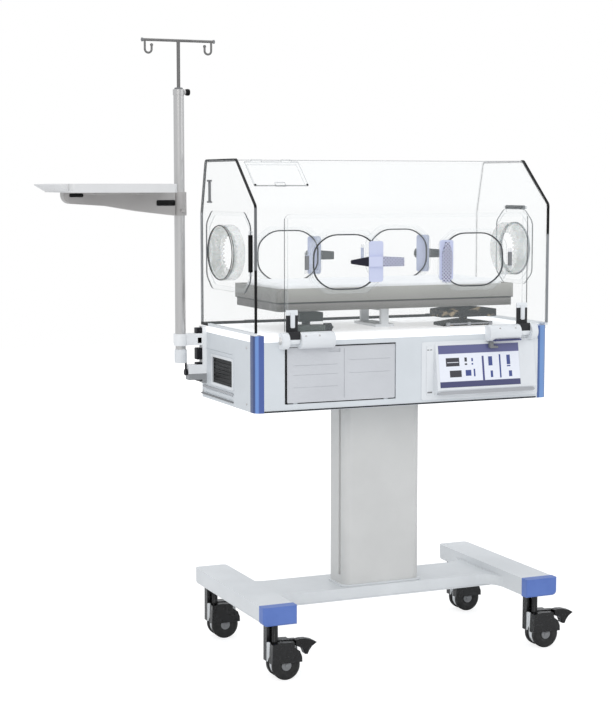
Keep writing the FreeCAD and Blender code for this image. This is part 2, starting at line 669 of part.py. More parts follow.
def hood_outline():
    pairs = [(-size("hood_front"), size("hood_base")), (-size("hood_front"), size("hood_knee")),
             (-size("hood_top_front"), size("hood_top")), (size("hood_top_rear"), size("hood_top")),
             (size("hood_rear"), size("hood_rear_knee")), (size("hood_rear"), size("hood_base"))]
    return [FreeCAD.Vector(0, y, z) for y, z in pairs]


def inner_outline(outer, distance):
    first = outer[0] + FreeCAD.Vector(0, distance, 0)
    last = outer[-1] - FreeCAD.Vector(0, distance, 0)
    middle = [offset_corner(a, b, c, distance) for a, b, c in zip(outer, outer[1:], outer[2:])]
    return [first] + middle + [last]


def bent_sheet(outer, wall, bend, x_low, x_high):
    inner = inner_outline(outer, wall)
    edges = rounded_edges(outer, bend) + rounded_edges(inner, bend - wall)
    edges.append(Part.LineSegment(outer[0], inner[0]).toShape())
    edges.append(Part.LineSegment(outer[-1], inner[-1]).toShape())
    face = Part.Face(Part.Wire(Part.__sortEdges__(edges)))
    solid = face.extrude(FreeCAD.Vector(x_high - x_low, 0, 0))
    solid.translate(FreeCAD.Vector(x_low, 0, 0))
    return solid


def slope_frame():
    """The top front slope: its upper edge's middle, the way down it, and its outward normal."""
    outer = hood_outline()
    upper, lower = outer[2], outer[1]
    down = (lower - upper).normalize()
    return upper, down, FreeCAD.Vector(0, down.z, -down.y)


def slope_box(x0, x1, drop0, drop1, out0, out1):
    """A box that lies on the front slope, from drop0 to drop1 down it and out0 to out1 above it."""
    upper, down, normal = slope_frame()
    corners = []
    for drop, out in ((drop0, out0), (drop1, out0), (drop1, out1), (drop0, out1)):
        corners.append(upper + down * drop + normal * out + FreeCAD.Vector(x0, 0, 0))
    face = Part.Face(Part.makePolygon(corners + corners[:1]))
    return face.extrude(FreeCAD.Vector(x1 - x0, 0, 0))


def hood():
    wall, half = size("hood_wall"), size("hood_length") / 2
    sheet_solid = bent_sheet(hood_outline(), wall, size("hood_bend"), -half + wall, half - wall)
    shell = made(sheet_solid)
    left = "panel_mid-panel_width/2+panel_lap"
    right = "panel_mid+panel_width/2-panel_lap"
    doorway = block(left, right, "-hood_front-1", "-hood_front+hood_wall+1", "hood_base-1",
                    "panel_top-panel_lap")
    lap = 6
    flap_hole = made(slope_box(size("flap_left") + lap, size("flap_right") - lap,
                               size("flap_drop") + lap, size("flap_drop") + size("flap_long") - lap,
                               -wall - 3, 3))
    openings = [doorway, flap_hole]
    for side in ("-", ""):
        hole = body()
        openings.append(add(hole, "XZ_Plane", "hood_rear-hood_wall-2", "hood_rear+2",
                            octagon(side + "rear_port_offset", "port_height", "port_across",
                                    "port_high", "port_cut")))
        round_edges(hole, along("y"), "port_round")
    keep(less(shell, *openings), "hood_shell")

    gap = size("seat_gap")
    flap = slope_box(size("flap_left"), size("flap_right"), size("flap_drop"),
                     size("flap_drop") + size("flap_long"), gap, gap + size("flap_thick"))
    upper, down, normal = slope_frame()
    barrel_at = upper + down * (size("flap_drop") - 3) + normal * (gap + 4)
    barrels = []
    for x in (size("flap_left") + 20, size("flap_right") - 50):
        barrels.append(Part.makeCylinder(3.6, 30, barrel_at + FreeCAD.Vector(x, 0, 0),
                                         FreeCAD.Vector(1, 0, 0)))
    tab = slope_box(size("flap_left") + 60, size("flap_left") + 90,
                    size("flap_drop") + size("flap_long") - 8,
                    size("flap_drop") + size("flap_long") + 6, gap + 4, gap + 8)
    flap = flap.fuse(barrels + [tab]).removeSplitter()
    keep(made(flap), "hood_flap")

    ends()
    rim()


def end_plate():
    """The hood's end wall: its outline follows the bent sheet from the inside face out."""
    outer = hood_outline()
    edges = rounded_edges(outer, size("hood_bend"))
    edges.append(Part.LineSegment(outer[0], outer[-1]).toShape())
    face = Part.Face(Part.Wire(Part.__sortEdges__(edges)))
    return face


def end_opening(mid, across, x_low, x_high):
    hole = body()
    add(hole, "YZ_Plane", x_low, x_high,
        octagon(mid, "end_height", across, "end_high", "port_cut"))
    round_edges(hole, along("x"), "port_round")
    return hole


def oval(x, deep, mid, across, inset):
    """An elliptical rod along x, as wide and high as an end sleeve less an inset all round."""
    ring = Part.Ellipse(FreeCAD.Vector(), across / 2 - inset,
                        size("iris_high") / 2 - inset).toShape()
    face = Part.Face(Part.Wire(ring))
    face.Placement = FreeCAD.Placement(FreeCAD.Vector(x, mid, size("end_height") - 6),
                                       FreeCAD.Rotation(FreeCAD.Vector(0, 1, 0),
                                                        FreeCAD.Vector(0, 0, 1),
                                                        FreeCAD.Vector(1, 0, 0)))
    return face.extrude(FreeCAD.Vector(deep, 0, 0))


def end_door_axis(side):
    """Left door: an upright hinge at its front edge. Right door: a level hinge along its top."""
    out = size("hood_length") / 2 + size("seat_gap") + size("barrel_radius")
    if side == "left":
        edge = size("end_left_mid") - size("end_left_across") / 2 - size("port_rim") - 6
        return FreeCAD.Vector(-out, edge, size("end_height")), FreeCAD.Vector(0, 0, 1)
    top = size("end_height") + size("end_high") / 2 + size("port_rim") + 6
    return FreeCAD.Vector(out, size("end_right_mid"), top), FreeCAD.Vector(0, 1, 0)


def ends():
    wall, half = size("hood_wall"), size("hood_length") / 2
    for side, sign in (("left", -1), ("right", 1)):
        mid, across = "end_%s_mid" % side, "end_%s_across" % side
        x_in, x_out = ("hood_length/2-hood_wall", "hood_length/2")
        low, high = (("-(%s)" % x_out, "-(%s)" % x_in) if sign < 0 else (x_in, x_out))
        plate = end_plate().extrude(FreeCAD.Vector(wall, 0, 0))
        plate.translate(FreeCAD.Vector(-half if sign < 0 else half - wall, 0, 0))
        hole = end_opening(mid, across, "(%s)-2" % low, "(%s)+2" % high)
        at, way = end_door_axis(side)
        reach, radius = size("end_bar_half"), size("barrel_radius")
        ears = []
        for start in (-reach - size("ear_length") - 1, reach + 1):
            ears.append(Part.makeCylinder(radius, size("ear_length"), at + way * start, way))
            corner = at + way * start
            deep = abs(at.x) - half
            if side == "left":
                ears.append(Part.makeBox(deep, 2 * radius, size("ear_length"),
                                         FreeCAD.Vector(-half - deep, at.y - radius, corner.z)))
            else:
                ears.append(Part.makeBox(deep, size("ear_length"), 2 * radius,
                                         FreeCAD.Vector(half, corner.y, at.z - radius)))
        pin = Part.makeCylinder(size("pin_radius") / 2, 2 * reach + 4, at - way * (reach + 2), way)
        fixed = fuse(less(made(plate), hole), made(ears[0].fuse(ears[1:] + [pin])))
        keep(fixed, "hood_end_" + side)

        gap = "(hood_length/2+seat_gap)"
        lid_low, lid_high = gap, "%s+door_thick" % gap
        if sign < 0:
            lid_low, lid_high = "-(%s)" % lid_high, "-(%s)" % lid_low
        lid = body()
        add(lid, "YZ_Plane", lid_low, lid_high,
            octagon(mid, "end_height", "%s+2*port_rim" % across, "end_high+2*port_rim",
                    "port_cut"))
        round_edges(lid, along("x"), "port_round")
        iris_mid = "iris_left_mid" if side == "left" else mid
        x_iris = -half - size("seat_gap") - size("door_thick") if sign < 0 else half
        iris_across = size("iris_%s_across" % side)
        iris = oval(x_iris - 1, size("door_thick") + 2, size(iris_mid), iris_across, 0)
        bar = Part.makeCylinder(radius, 2 * reach, at - way * reach, way)
        inner = FreeCAD.Vector(sign * (half + size("seat_gap")), 0, 0)
        deep = abs(at.x) - abs(inner.x)
        x_start = min(at.x, inner.x)
        if side == "left":
            web = Part.makeBox(deep, 14, 2 * reach, FreeCAD.Vector(x_start, at.y, at.z - reach))
        else:
            web = Part.makeBox(deep, 2 * reach, 14, FreeCAD.Vector(x_start, at.y - reach, at.z - 14))
        bore = Part.makeCylinder(size("pin_radius") / 2 + size("pin_clearance"), 2 * reach + 2,
                                 at - way * (reach + 1), way)
        keep(less(fuse(less(lid, made(iris)), made(bar.fuse(web))), made(bore)),
             "end_door_" + side)

        outer_face = half + size("seat_gap") + size("door_thick")
        x_sleeve = -outer_face if sign < 0 else outer_face - size("sleeve_deep")
        tube = oval(x_sleeve, size("sleeve_deep"), size(iris_mid), iris_across, 0)
        bore = oval(x_sleeve - 1, size("sleeve_deep") + 2, size(iris_mid), iris_across,
                    size("sleeve_wall"))
        sleeve = made(tube.cut(bore))
        keep(sleeve, "end_sleeve_" + side)


def rim():
    half, lap, wide = size("hood_length") / 2, size("trim_lap"), size("trim_width")
    outer = hood_outline()
    proud = inner_outline(outer, -lap)
    proud[0] = outer[0] + FreeCAD.Vector(0, -lap, 0)
    proud[-1] = outer[-1] + FreeCAD.Vector(0, lap, 0)
    trims = []
    for x_low in (-half - 0.2, half + 0.2 - wide):
        ring = rounded_edges(proud, size("hood_bend") + lap) + rounded_edges(outer,
                                                                            size("hood_bend"))
        ring.append(Part.LineSegment(proud[0], outer[0]).toShape())
        ring.append(Part.LineSegment(proud[-1], outer[-1]).toShape())
        face = Part.Face(Part.Wire(Part.__sortEdges__(ring)))
        strip = face.extrude(FreeCAD.Vector(wide, 0, 0))
        strip.translate(FreeCAD.Vector(x_low, 0, 0))
        trims.append(strip)
    keep(made(Part.makeCompound(trims)), "hood_edge_trims")

    base = body()
    add(base, "XY_Plane", "deck_top+seat_gap", "hood_base",
        rectangle("-hood_length/2-1", "hood_length/2+1", "-hood_front-1", "hood_rear+1"))
    carve(base, "XY_Plane", "deck_top+seat_gap", "hood_base",
          rectangle("-hood_length/2+hood_wall+3", "hood_length/2-hood_wall-3",
                    "-hood_front-2", "hood_rear-hood_wall-3"))
    knuckles, bores, brackets = [base], [], []
    for side in ("-", ""):
        mid = side + "hinge_x"
        knuckles.append(block("%s-hinge_length/4" % mid, "%s+hinge_length/4" % mid,
                              "hood_rear-4", "hinge_y+5", "deck_top+seat_gap", "hood_base"))
        knuckles.append(block("%s-hinge_length/4" % mid, "%s+hinge_length/4" % mid,
                              "hinge_y-5", "hinge_y+5", "hinge_z-5", "hood_base"))
        bores.append(rod("x", "%s-hinge_length/4-1" % mid, "hinge_y", "hinge_z",
                         "pin_radius+pin_clearance", "hinge_length/2+2"))
        plate = block("%s-hinge_length/2" % mid, "%s+hinge_length/2" % mid, "chassis_depth/2",
                      "chassis_depth/2+1.2", "chassis_top-60", "deck_top-2")
        pin = rod("x", "%s-hinge_length/2" % mid, "hinge_y", "hinge_z", "pin_radius",
                  "hinge_length")
        pieces = [plate, pin]
        for ear in ("%s-hinge_length/2" % mid, "%s+hinge_length/2-12" % mid):
            pieces.append(block(ear, "%s+12" % ear, "chassis_depth/2", "hinge_y+6", "hinge_z-8",
                                "hinge_z+6"))
        brackets.append(fuse(*pieces))
    keep(less(fuse(*knuckles), *bores), "hood_base_frame")
    keep(group(*brackets), "hood_hinges")


# Ports on flat walls

def port_place(mid, hinge_sign):
    """The hinge line's x for a port whose hinge is on the side hinge_sign."""
    return "(%s)%s(port_across/2+port_rim+barrel_radius+3)" % (mid, hinge_sign)


def port_rim(mid, height, face, way, hinge_sign):
    """A rim on a wall's outer face: face is that face's y, way is - in front and + at the rear."""
    near, far = face, "(%s)%srim_thick" % (face, way)
    low, high = (far, near) if way == "-" else (near, far)
    ring = body()
    add(ring, "XZ_Plane", low, high, octagon(mid, height, "port_across+2*port_rim",
                                             "port_high+2*port_rim", "port_cut+3"))
    round_edges(ring, along("y"), "port_round+4")
    carve(ring, "XZ_Plane", low, high, octagon(mid, height, "port_across", "port_high",
                                               "port_cut"))
    x = port_place(mid, hinge_sign)
    depth = "(%s)%s(rim_thick+seat_gap+door_thick/2+1)" % (face, way)
    pieces = [ring]
    for start in ("-barrel_half-ear_length-0.5", "barrel_half+0.5"):
        base = "(%s)+(%s)" % (height, start)
        pieces.append(rod("z", x, depth, base, "barrel_radius", "ear_length"))
        y_low, y_high = (depth, face) if way == "-" else (face, depth)
        pieces.append(block("(%s)-barrel_radius" % x, "(%s)+barrel_radius" % x, y_low, y_high,
                            base, "(%s)+ear_length" % base))
        inward = "+" if hinge_sign == "-" else "-"
        edges = ["(%s)" % x, "(%s)%s14" % (x, inward)]
        if inward == "-":
            edges.reverse()
        pieces.append(block(edges[0], edges[1], low, high, base, "(%s)+ear_length" % base))
    pieces.append(rod("z", x, depth, "(%s)-barrel_half-2" % height, "pin_radius/2",
                      "2*barrel_half+4"))
    return fuse(*pieces)


def port_door(mid, height, face, way, hinge_sign):
    start = "(%s)%s(rim_thick+seat_gap)" % (face, way)
    end = "(%s)%sdoor_thick" % (start, way)
    low, high = (end, start) if way == "-" else (start, end)
    pane = body()
    add(pane, "XZ_Plane", low, high, octagon(mid, height, "port_across+2*port_rim-6",
                                             "port_high+2*port_rim-6", "port_cut+2"))
    round_edges(pane, along("y"), "port_round+3")
    x = port_place(mid, hinge_sign)
    depth = "(%s)%s(rim_thick+seat_gap+door_thick/2+1)" % (face, way)
    barrel = rod("z", x, depth, "(%s)-barrel_half" % height, "barrel_radius", "2*barrel_half")
    inward = "+" if hinge_sign == "-" else "-"
    edges = ["(%s)" % x, "(%s)%s(barrel_radius+10)" % (x, inward)]
    if inward == "-":
        edges.reverse()
    web = block(edges[0], edges[1], low, high, "(%s)-barrel_half" % height,
                "(%s)+barrel_half" % height)
    plate_at = "((%s)%s(port_across/2-10))" % (mid, inward)
    y_low, y_high = (("(%s)-latch_plate_thick" % low, low) if way == "-"
                     else (high, "(%s)+latch_plate_thick" % high))
    plate = body()
    add(plate, "XZ_Plane", y_low, y_high,
        rectangle("%s-latch_plate/2" % plate_at, "%s+latch_plate/2" % plate_at,
                  "(%s)-latch_plate_high/2" % height, "(%s)+latch_plate_high/2" % height))
    round_edges(plate, along("y"), "7")
    bore = rod("z", x, depth, "(%s)-barrel_half-1" % height, "pin_radius/2+pin_clearance",
               "2*barrel_half+2")
    return less(fuse(pane, barrel, web, plate), bore), plate_at, y_low, y_high


def port_latch(plate_at, height, outer, way, tip_way, point, tail):
    """A flat lever with an arrow point on the side tip_way (-, + or up) and a grip opposite."""
    near = "(%s)%sseat_gap" % (outer, way)
    far = "(%s)%slatch_thick" % (outer, way)
    low, high = (far, near) if way == "-" else (near, far)
    outline = [(point, "-5"), (point, "5"), ("latch_plate/2", "latch_half"),
               ("-latch_plate/2", "latch_half"), ("-" + tail, "latch_half-4"),
               ("-" + tail, "-latch_half"), ("-latch_plate/2", "-latch_half"),
               ("latch_plate/2", "-latch_half")]
    points = []
    for forward, across in outline:
        if tip_way == "up":
            points.append(("(%s)+(%s)" % (plate_at, across), "(%s)+(%s)" % (height, forward)))
        else:
            points.append(("(%s)%s(%s)" % (plate_at, tip_way, forward),
                           "(%s)+(%s)" % (height, across)))
    lever = body()
    add(lever, "XZ_Plane", low, high, points)
    round_edges(lever, along("y"), "3")
    return lever


def front_panel():
    face = "(-hood_front-seal_gap)"
    outer = "(%s-hood_wall)" % face
    left, right = "(panel_mid-panel_width/2)", "(panel_mid+panel_width/2)"
    pane = body()
    add(pane, "XZ_Plane", outer, face, rectangle(left, right, "panel_base", "panel_top"))
    round_edges(pane, along("y", lambda mid: mid.z > size("panel_top") - 1), "18")
    mids = ("panel_mid-port_offset", "panel_mid+port_offset")
    for mid in mids:
        carve(pane, "XZ_Plane", outer, face, octagon(mid, "port_height", "port_across",
                                                     "port_high", "port_cut"))
    keep(pane, "front_panel")

    rims = []
    for mid, side, hinge_sign in zip(mids, ("left", "right"), ("-", "+")):
        rims.append(port_rim(mid, "port_height", outer, "-", hinge_sign))
        door, plate_at, y_low, y_high = port_door(mid, "port_height", outer, "-", hinge_sign)
        keep(door, "front_port_door_" + side)
        ends_at = ("-", "latch_point", "latch_tail")
        if side == "right":
            ends_at = ("up", "latch_upper", "latch_lower")
        keep(port_latch(plate_at, "port_height", y_low, "-", *ends_at),
             "front_port_latch_" + side)
    keep(group(*rims), "front_port_frames")

    rear_rims = []
    hinge_sign = "-"
    for side, mid in (("left", "-rear_port_offset"), ("right", "rear_port_offset")):
        rear_rims.append(port_rim(mid, "port_height", "hood_rear", "+", hinge_sign))
        door, plate_at, y_low, y_high = port_door(mid, "port_height", "hood_rear", "+", hinge_sign)
        lever = port_latch(plate_at, "port_height", y_high, "+", "-", "latch_stub", "latch_grip")
        keep(group(door, lever), "rear_port_door_" + side)
    keep(group(*rear_rims), "rear_port_frames")

    arms, blocks = [], []
    strap = "(%s-arm_thick)" % outer
    axis_y = "(-panel_axis_y)"
    for low, sign in (("(%s+2)" % left, 1), ("(%s-2-arm_width)" % right, -1)):
        high = "(%s+arm_width)" % low
        plate = body()
        add(plate, "YZ_Plane", low, high,
            [(strap, "panel_axis_z"), (outer, "panel_axis_z+block_radius+3"),
             (outer, "arm_top"), ("%s+2" % strap, "arm_top"), (strap, "arm_top-6")])
        eye = rod("x", low, axis_y, "panel_axis_z", "block_radius*0.45", "arm_width")
        link = block(low, high, "%s-block_radius*0.45" % axis_y, "%s-0.5" % outer,
                     "panel_axis_z", "panel_axis_z+block_radius+2")
        bore = rod("x", "%s-1" % low, axis_y, "panel_axis_z", "pin_radius+pin_clearance",
                   "arm_width+2")
        arms.append(less(fuse(plate, eye, link), bore))
        inner = ("(%s+0.5)" % high, "(%s+0.5+block_length)" % high)
        outside = ("(%s-0.5-block_end)" % low, "(%s-0.5)" % low)
        if sign < 0:
            inner = ("(%s-0.5-block_length)" % low, "(%s-0.5)" % low)
            outside = ("(%s+0.5)" % high, "(%s+0.5+block_end)" % high)
        pieces = []
        for start, end in (inner, outside):
            pieces.append(rod("x", start, axis_y, "panel_axis_z", "block_radius",
                              "(%s)-(%s)" % (end, start)))
            pieces.append(block(start, end, axis_y, "-chassis_depth/2", "block_base",
                                "panel_axis_z"))
            pieces.append(block(start, end, axis_y, "-chassis_depth/2", "panel_axis_z",
                                "panel_axis_z+14"))
        pieces.append(rod("x", "(%s-2)" % low, axis_y, "panel_axis_z", "pin_radius",
                          "arm_width+4"))
        pieces.append(block("(%s)" % (outside[0] if sign > 0 else inner[0]),
                            "(%s)" % (inner[1] if sign > 0 else outside[1]),
                            "-chassis_depth/2-1.6", "-chassis_depth/2", "block_base",
                            "panel_axis_z-block_radius*0.5"))
        behind = block("-chassis_length/2-9", "chassis_length/2+9", "-chassis_depth/2",
                       "-chassis_depth/2+30", "block_base-9", "panel_axis_z+40")
        blocks.append(less(fuse(*pieces), behind))
        latch = body()
        add(latch, "XZ_Plane", "%s-5" % strap, "%s-seat_gap" % strap,
            rectangle("%s+arm_width/2-6" % low, "%s+arm_width/2+6" % low,
                      "panel_axis_z+34", "panel_axis_z+76"))
        round_edges(latch, along("y"), "3")
        keep(latch, "panel_latch_" + ("left" if sign > 0 else "right"))
    keep(group(*arms), "panel_arms")
    keep(group(*blocks), "panel_hinge_blocks")


# The bed

def roof(x, half, low, top):
    """An outline whose top falls away on both sides of a ridge a little faster than the bed."""
    flank = "%s-head_drop+0.115*(head_ridge-%s)" % (top, half)
    return [("%s-%s" % (x, half), low), ("%s+%s" % (x, half), low), ("%s+%s" % (x, half), flank),
            ("%s+head_ridge" % x, "%s-head_drop" % top),
            ("%s-head_ridge" % x, "%s-head_drop" % top), ("%s-%s" % (x, half), flank)]


def bed():
    end, deep = "tray_half", "tray_deep_half"
    tray = body()
    add(tray, "XY_Plane", "tray_base", "tray_step",
        rectangle("-%s+tray_inset" % end, "%s-tray_inset" % end, "-%s+tray_inset" % deep,
                  "%s-tray_inset" % deep))
    add(tray, "XY_Plane", "tray_step", "tray_top",
        rectangle("-" + end, end, "-" + deep, deep))
    round_edges(tray, along("z"), "12")
    carve(tray, "XY_Plane", "tray_base+tray_wall", "tray_top",
          rectangle("-%s+tray_inset+tray_wall" % end, "%s-tray_inset-tray_wall" % end,
                    "-%s+tray_inset+tray_wall" % deep, "%s-tray_inset-tray_wall" % deep))
    saddle = block("-16", "16", "-pivot_half+1", "pivot_half-1", "pivot_z-2", "tray_base")
    bore = rod("y", "0", "-pivot_half", "pivot_z", "pivot_radius+pin_clearance", "2*pivot_half")
    keep(less(fuse(tray, saddle), bore), "mattress_tray")

    pad = body()
    inset = "(tray_inset+tray_wall+mattress_gap)"
    add(pad, "XY_Plane", "tray_base+tray_wall+seat_gap", "mattress_top",
        rectangle("-%s+%s" % (end, inset), "%s-%s" % (end, inset), "-%s+%s" % (deep, inset),
                  "%s-%s" % (deep, inset)))
    round_edges(pad, along("z"), "20")
    round_edges(pad, lambda edge: edge.CenterOfMass.z > size("mattress_top") - 0.5, "9")
    keep(pad, "mattress")

    stand_base = block("-30", "30", "-pivot_half-12", "pivot_half+12", "deck_top", "deck_top+8")
    pieces = [stand_base]
    for low in ("-pivot_half-12", "pivot_half"):
        pieces.append(block("-12", "12", low, "%s+12" % low, "deck_top", "pivot_z"))
        pieces.append(rod("y", "0", low, "pivot_z", "pivot_radius+0.6", "12"))
    pieces.append(rod("y", "0", "-pivot_half-2", "pivot_z", "pivot_radius", "2*pivot_half+4"))
    housings = [fuse(*pieces)]
    for x, half in (("jack_left", "jack_left_half"), ("jack_right", "jack_right_half")):
        guide = body()
        add(guide, "XZ_Plane", "jack_y-jack_deep_half+14", "jack_y+jack_deep_half-14",
            roof(x, "(%s*0.8-8)" % half, "deck_top",
                 "(tray_base-seat_gap-2*head_ridge-abs(%s)*tilt_slope)" % x))
        well = rod("z", x, "jack_y", "deck_top-jack_depth", "post_radius+4", "jack_depth+2")
        hole = rod("z", x, "jack_y", "deck_top-jack_depth-1", "post_radius+pin_clearance",
                   "jack_depth+80")
        housings.append(less(fuse(guide, well), hole))
    front = "(jack_y-jack_deep_half)"
    gearbox = body()
    add(gearbox, "XY_Plane", "deck_top", "gear_top",
        rectangle("tilt_knob_x-14-gear_length", "tilt_knob_x-14", "%s-46" % front, "%s-10" % front))
    round_edges(gearbox, along("z"), "6")
    spindle = rod("x", "tilt_knob_x-15", "%s-28" % front, "deck_top+14", "pin_radius", "30")
    housings.append(fuse(gearbox, spindle))
    keep(group(*housings), "tilt_jacks")

    for name, x, half in (("left", "jack_left", "jack_left_half"),
                          ("right", "jack_right", "jack_right_half")):
        top = "(tray_base-seat_gap)"
        low = "(deck_top+abs(%s)*tilt_slope+seat_gap+0.5)" % x
        near, far = "jack_y-jack_deep_half+6", "jack_y+jack_deep_half-6"
        head = body()
        add(head, "XZ_Plane", near, far, roof(x, "(%s*0.8)" % half, low, top))
        carve(head, "XZ_Plane", "%s+4" % near, "%s-4" % far,
              roof(x, "(%s*0.8-4)" % half, "%s-1" % low, "(%s-head_wall)" % top))
        ridge = rod("y", x, near, "%s-head_ridge" % top, "head_ridge", "(%s)-(%s)" % (far, near))
        leg = rod("z", x, "jack_y", "deck_top-post_sunk", "post_radius",
                  "%s-head_wall-deck_top+post_sunk" % top)
        keep(fuse(head, ridge, leg), "tilt_post_" + name)

    knob = rod("x", "tilt_knob_x-12", "%s-28" % front, "deck_top+14", "12", "20")
    bore = rod("x", "tilt_knob_x-13", "%s-28" % front, "deck_top+14", "pin_radius+pin_clearance",
               "29")
    keep(less(knob, bore), "tilt_knob")


# The pole

def pole():
    x, y = "pole_x", "pole_y"
    tube = rod("z", x, y, "pole_base", "pole_radius", "pole_top-pole_base-14")
    hollow = rod("z", x, y, "pole_base-1", "pole_radius-pole_wall", "pole_top-pole_base-14")
    cap = rod("z", x, y, "pole_top-16", "pole_radius+1.5", "16")
    boss = rod("x", x, y, "pole_top-8", "6", "pole_radius+5")
    guide = rod("z", x, y, "pole_base", "rod_radius+pin_clearance", "pole_top")
    screw_bore = rod("x", "pole_x+rod_radius", y, "pole_top-8", "screw_radius+pin_clearance", "20")
    keep(less(fuse(less(tube, hollow), cap, boss), guide, screw_bore), "pole_tube")

    hooks = []
    bar = Part.makeCylinder(size("rod_radius") * 0.8, 2 * size("crossbar_half"),
                            FreeCAD.Vector(size("pole_x") - size("crossbar_half"), size("pole_y"),
                                           size("crossbar_z")), FreeCAD.Vector(1, 0, 0))
    for sign in (-1, 1):
        start = FreeCAD.Vector(size("pole_x") + sign * (size("crossbar_half") - 6), size("pole_y"),
                               size("crossbar_z"))
        drop = start - FreeCAD.Vector(0, 0, size("hook_drop") - 10)
        turn = FreeCAD.Vector(-sign * 10, 0, -10)
        end = FreeCAD.Vector(-sign * 20, 0, 0)
        lip = drop + end + FreeCAD.Vector(0, 0, 12)
        path = Part.Wire([Part.LineSegment(start, drop).toShape(),
                          Part.Arc(drop, drop + turn, drop + end).toShape(),
                          Part.LineSegment(drop + end, lip).toShape()])
        circle = Part.Wire(Part.makeCircle(3, start, FreeCAD.Vector(0, 0, 1)))
        hooks.append(path.makePipeShell([circle], True, False))
        hooks.append(Part.makeSphere(4.5, lip))
    stem = Part.makeCylinder(size("rod_radius"), size("crossbar_z") - size("rod_base"),
                             FreeCAD.Vector(size("pole_x"), size("pole_y"), size("rod_base")))
    keep(made(stem.fuse([bar] + hooks)), "pole_rod")

    grip = rod("x", "pole_x+pole_radius+5+seat_gap", y, "pole_top-8", "8", "12")
    screw = rod("x", "pole_x+rod_radius+seat_gap", y, "pole_top-8", "screw_radius", "20")
    keep(fuse(grip, screw), "pole_lock_knob")

    arm_and_shelf()
    clamp()


def arm_and_shelf():
    x, y = "pole_x", "pole_y"
    low = "(shelf_top-shelf_rim-collar_high)"
    collar = rod("z", x, y, low, "pole_radius+collar_wall", "collar_high")
    beam = body()
    root_x, tip_x = "(pole_x-pole_radius-4)", "(pole_x-shelf_reach+14)"
    under = "(shelf_top-shelf_rim)"
    add(beam, "XZ_Plane", "pole_y-arm_half", "pole_y+arm_half",
        [(root_x, low), ("%s-110" % root_x, "%s+13" % low), ("%s-200" % root_x, "%s+28" % low),
         (tip_x, "%s+36" % low), (tip_x, under), (root_x, under)])
    round_edges(beam, along("y", lambda mid: mid.x < size("pole_x") - 100
                            and mid.z < size("shelf_top") - size("shelf_rim") - 20), "24")
    grip = rod("y", x, "pole_y-pole_radius-collar_wall-14", "%s+14" % low, "5", "18")
    bore = rod("z", x, y, "%s-1" % low, "pole_radius+pin_clearance", "collar_high+2")
    keep(less(fuse(collar, beam, grip), bore), "shelf_arm")

    tray = body()
    near, far = "(pole_x-shelf_near)", "(pole_x-shelf_reach)"
    add(tray, "XY_Plane", under, "shelf_top",
        rectangle(far, near, "pole_y-shelf_half", "pole_y+shelf_half"))
    round_edges(tray, along("z"), "12")
    carve(tray, "XY_Plane", "%s+shelf_wall" % under, "shelf_top",
          rectangle("%s+shelf_wall" % far, "%s-shelf_wall" % near,
                    "pole_y-shelf_half+shelf_wall", "pole_y+shelf_half-shelf_wall"))
    keep(tray, "shelf_plate")


def clamp():
    x, y = "pole_x", "pole_y"
    end = "(-chassis_length/2)"
    rail = block("%s-rail_thick" % end, end, "rail_y-rail_width", "rail_y", "rail_base",
                 "rail_top")
    holder = rod("z", x, y, "clamp_z", "pole_radius+collar_wall", "clamp_high")
    web = block(x, "%s-rail_thick+1" % end, "rail_y-rail_width+2", "rail_y-2", "clamp_z",
                "clamp_z+clamp_high")
    bore = rod("z", x, y, "clamp_z-1", "pole_radius", "clamp_high+2")
    foot = block("%s-rail_thick-42" % end, "%s-rail_thick+1" % end, "rail_y-rail_width",
                 "rail_y", "lever_z", "lever_z+lever_high")
    hub = rod("x", "%s-rail_thick-46" % end, "rail_y-rail_width/2", "lever_z+lever_high/2", "4",
              "6")
    keep(less(fuse(rail, holder, web, foot, hub), bore), "pole_clamp")

    cap = rod("x", "%s-rail_thick-50" % end, "rail_y-rail_width/2", "lever_z+lever_high/2", "9",
              "7.7")
    handle = rod("z", "%s-rail_thick-46.5" % end, "rail_y-rail_width/2", "lever_z+lever_high/2+4",
                 "3", "56")
    socket = rod("x", "%s-rail_thick-46.2" % end, "rail_y-rail_width/2", "lever_z+lever_high/2",
                 "4+pin_clearance", "6")
    keep(less(fuse(cap, handle), socket), "pole_clamp_lever")


def main():
    stand()
    casters()
    chassis()
    drawer()
    console()
    air_system()
    hood()
    front_panel()
    bed()
    pole()
    doc.recompute()
    failed = [item for item in doc.Objects if "Invalid" in item.State or "Error" in item.State]
    for item in failed:
        print("failed:", item.Name, item.Label, item.State,
              [(near.Name, near.Label) for near in item.OutList + item.InList])
    if failed:
        raise ValueError("%d objects failed" % len(failed))
    box = FreeCAD.BoundBox()
    on_stand = ("base_frame", "front_leg_caps", "column", "caster_")
    for part in PARTS:
        if part.Label.startswith(on_stand):
            part.Placement.Base = part.Placement.Base + FreeCAD.Vector(size("stand_offset"), 0, 0)
        if part.Shape.isNull() or not part.Shape.isValid():
            raise ValueError("%s has no sound shape" % part.Label)
        box.add(part.Shape.BoundBox)
    shift = FreeCAD.Vector(-box.Center.x, -box.Center.y, -box.ZMin)
    print("shift to the footprint's middle: %.3f %.3f %.3f" % tuple(shift))
    os.makedirs("parts", exist_ok=True)
    for part in PARTS:
        part.Placement.Base = part.Placement.Base + shift
        part.Shape.exportStep("parts/%s.step" % part.Label)
    print("%d parts, %s" % (len(PARTS), box))


main()
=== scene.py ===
import math

import bmesh
import bpy
from mathutils import Matrix, Vector
from mathutils.bvhtree import BVHTree


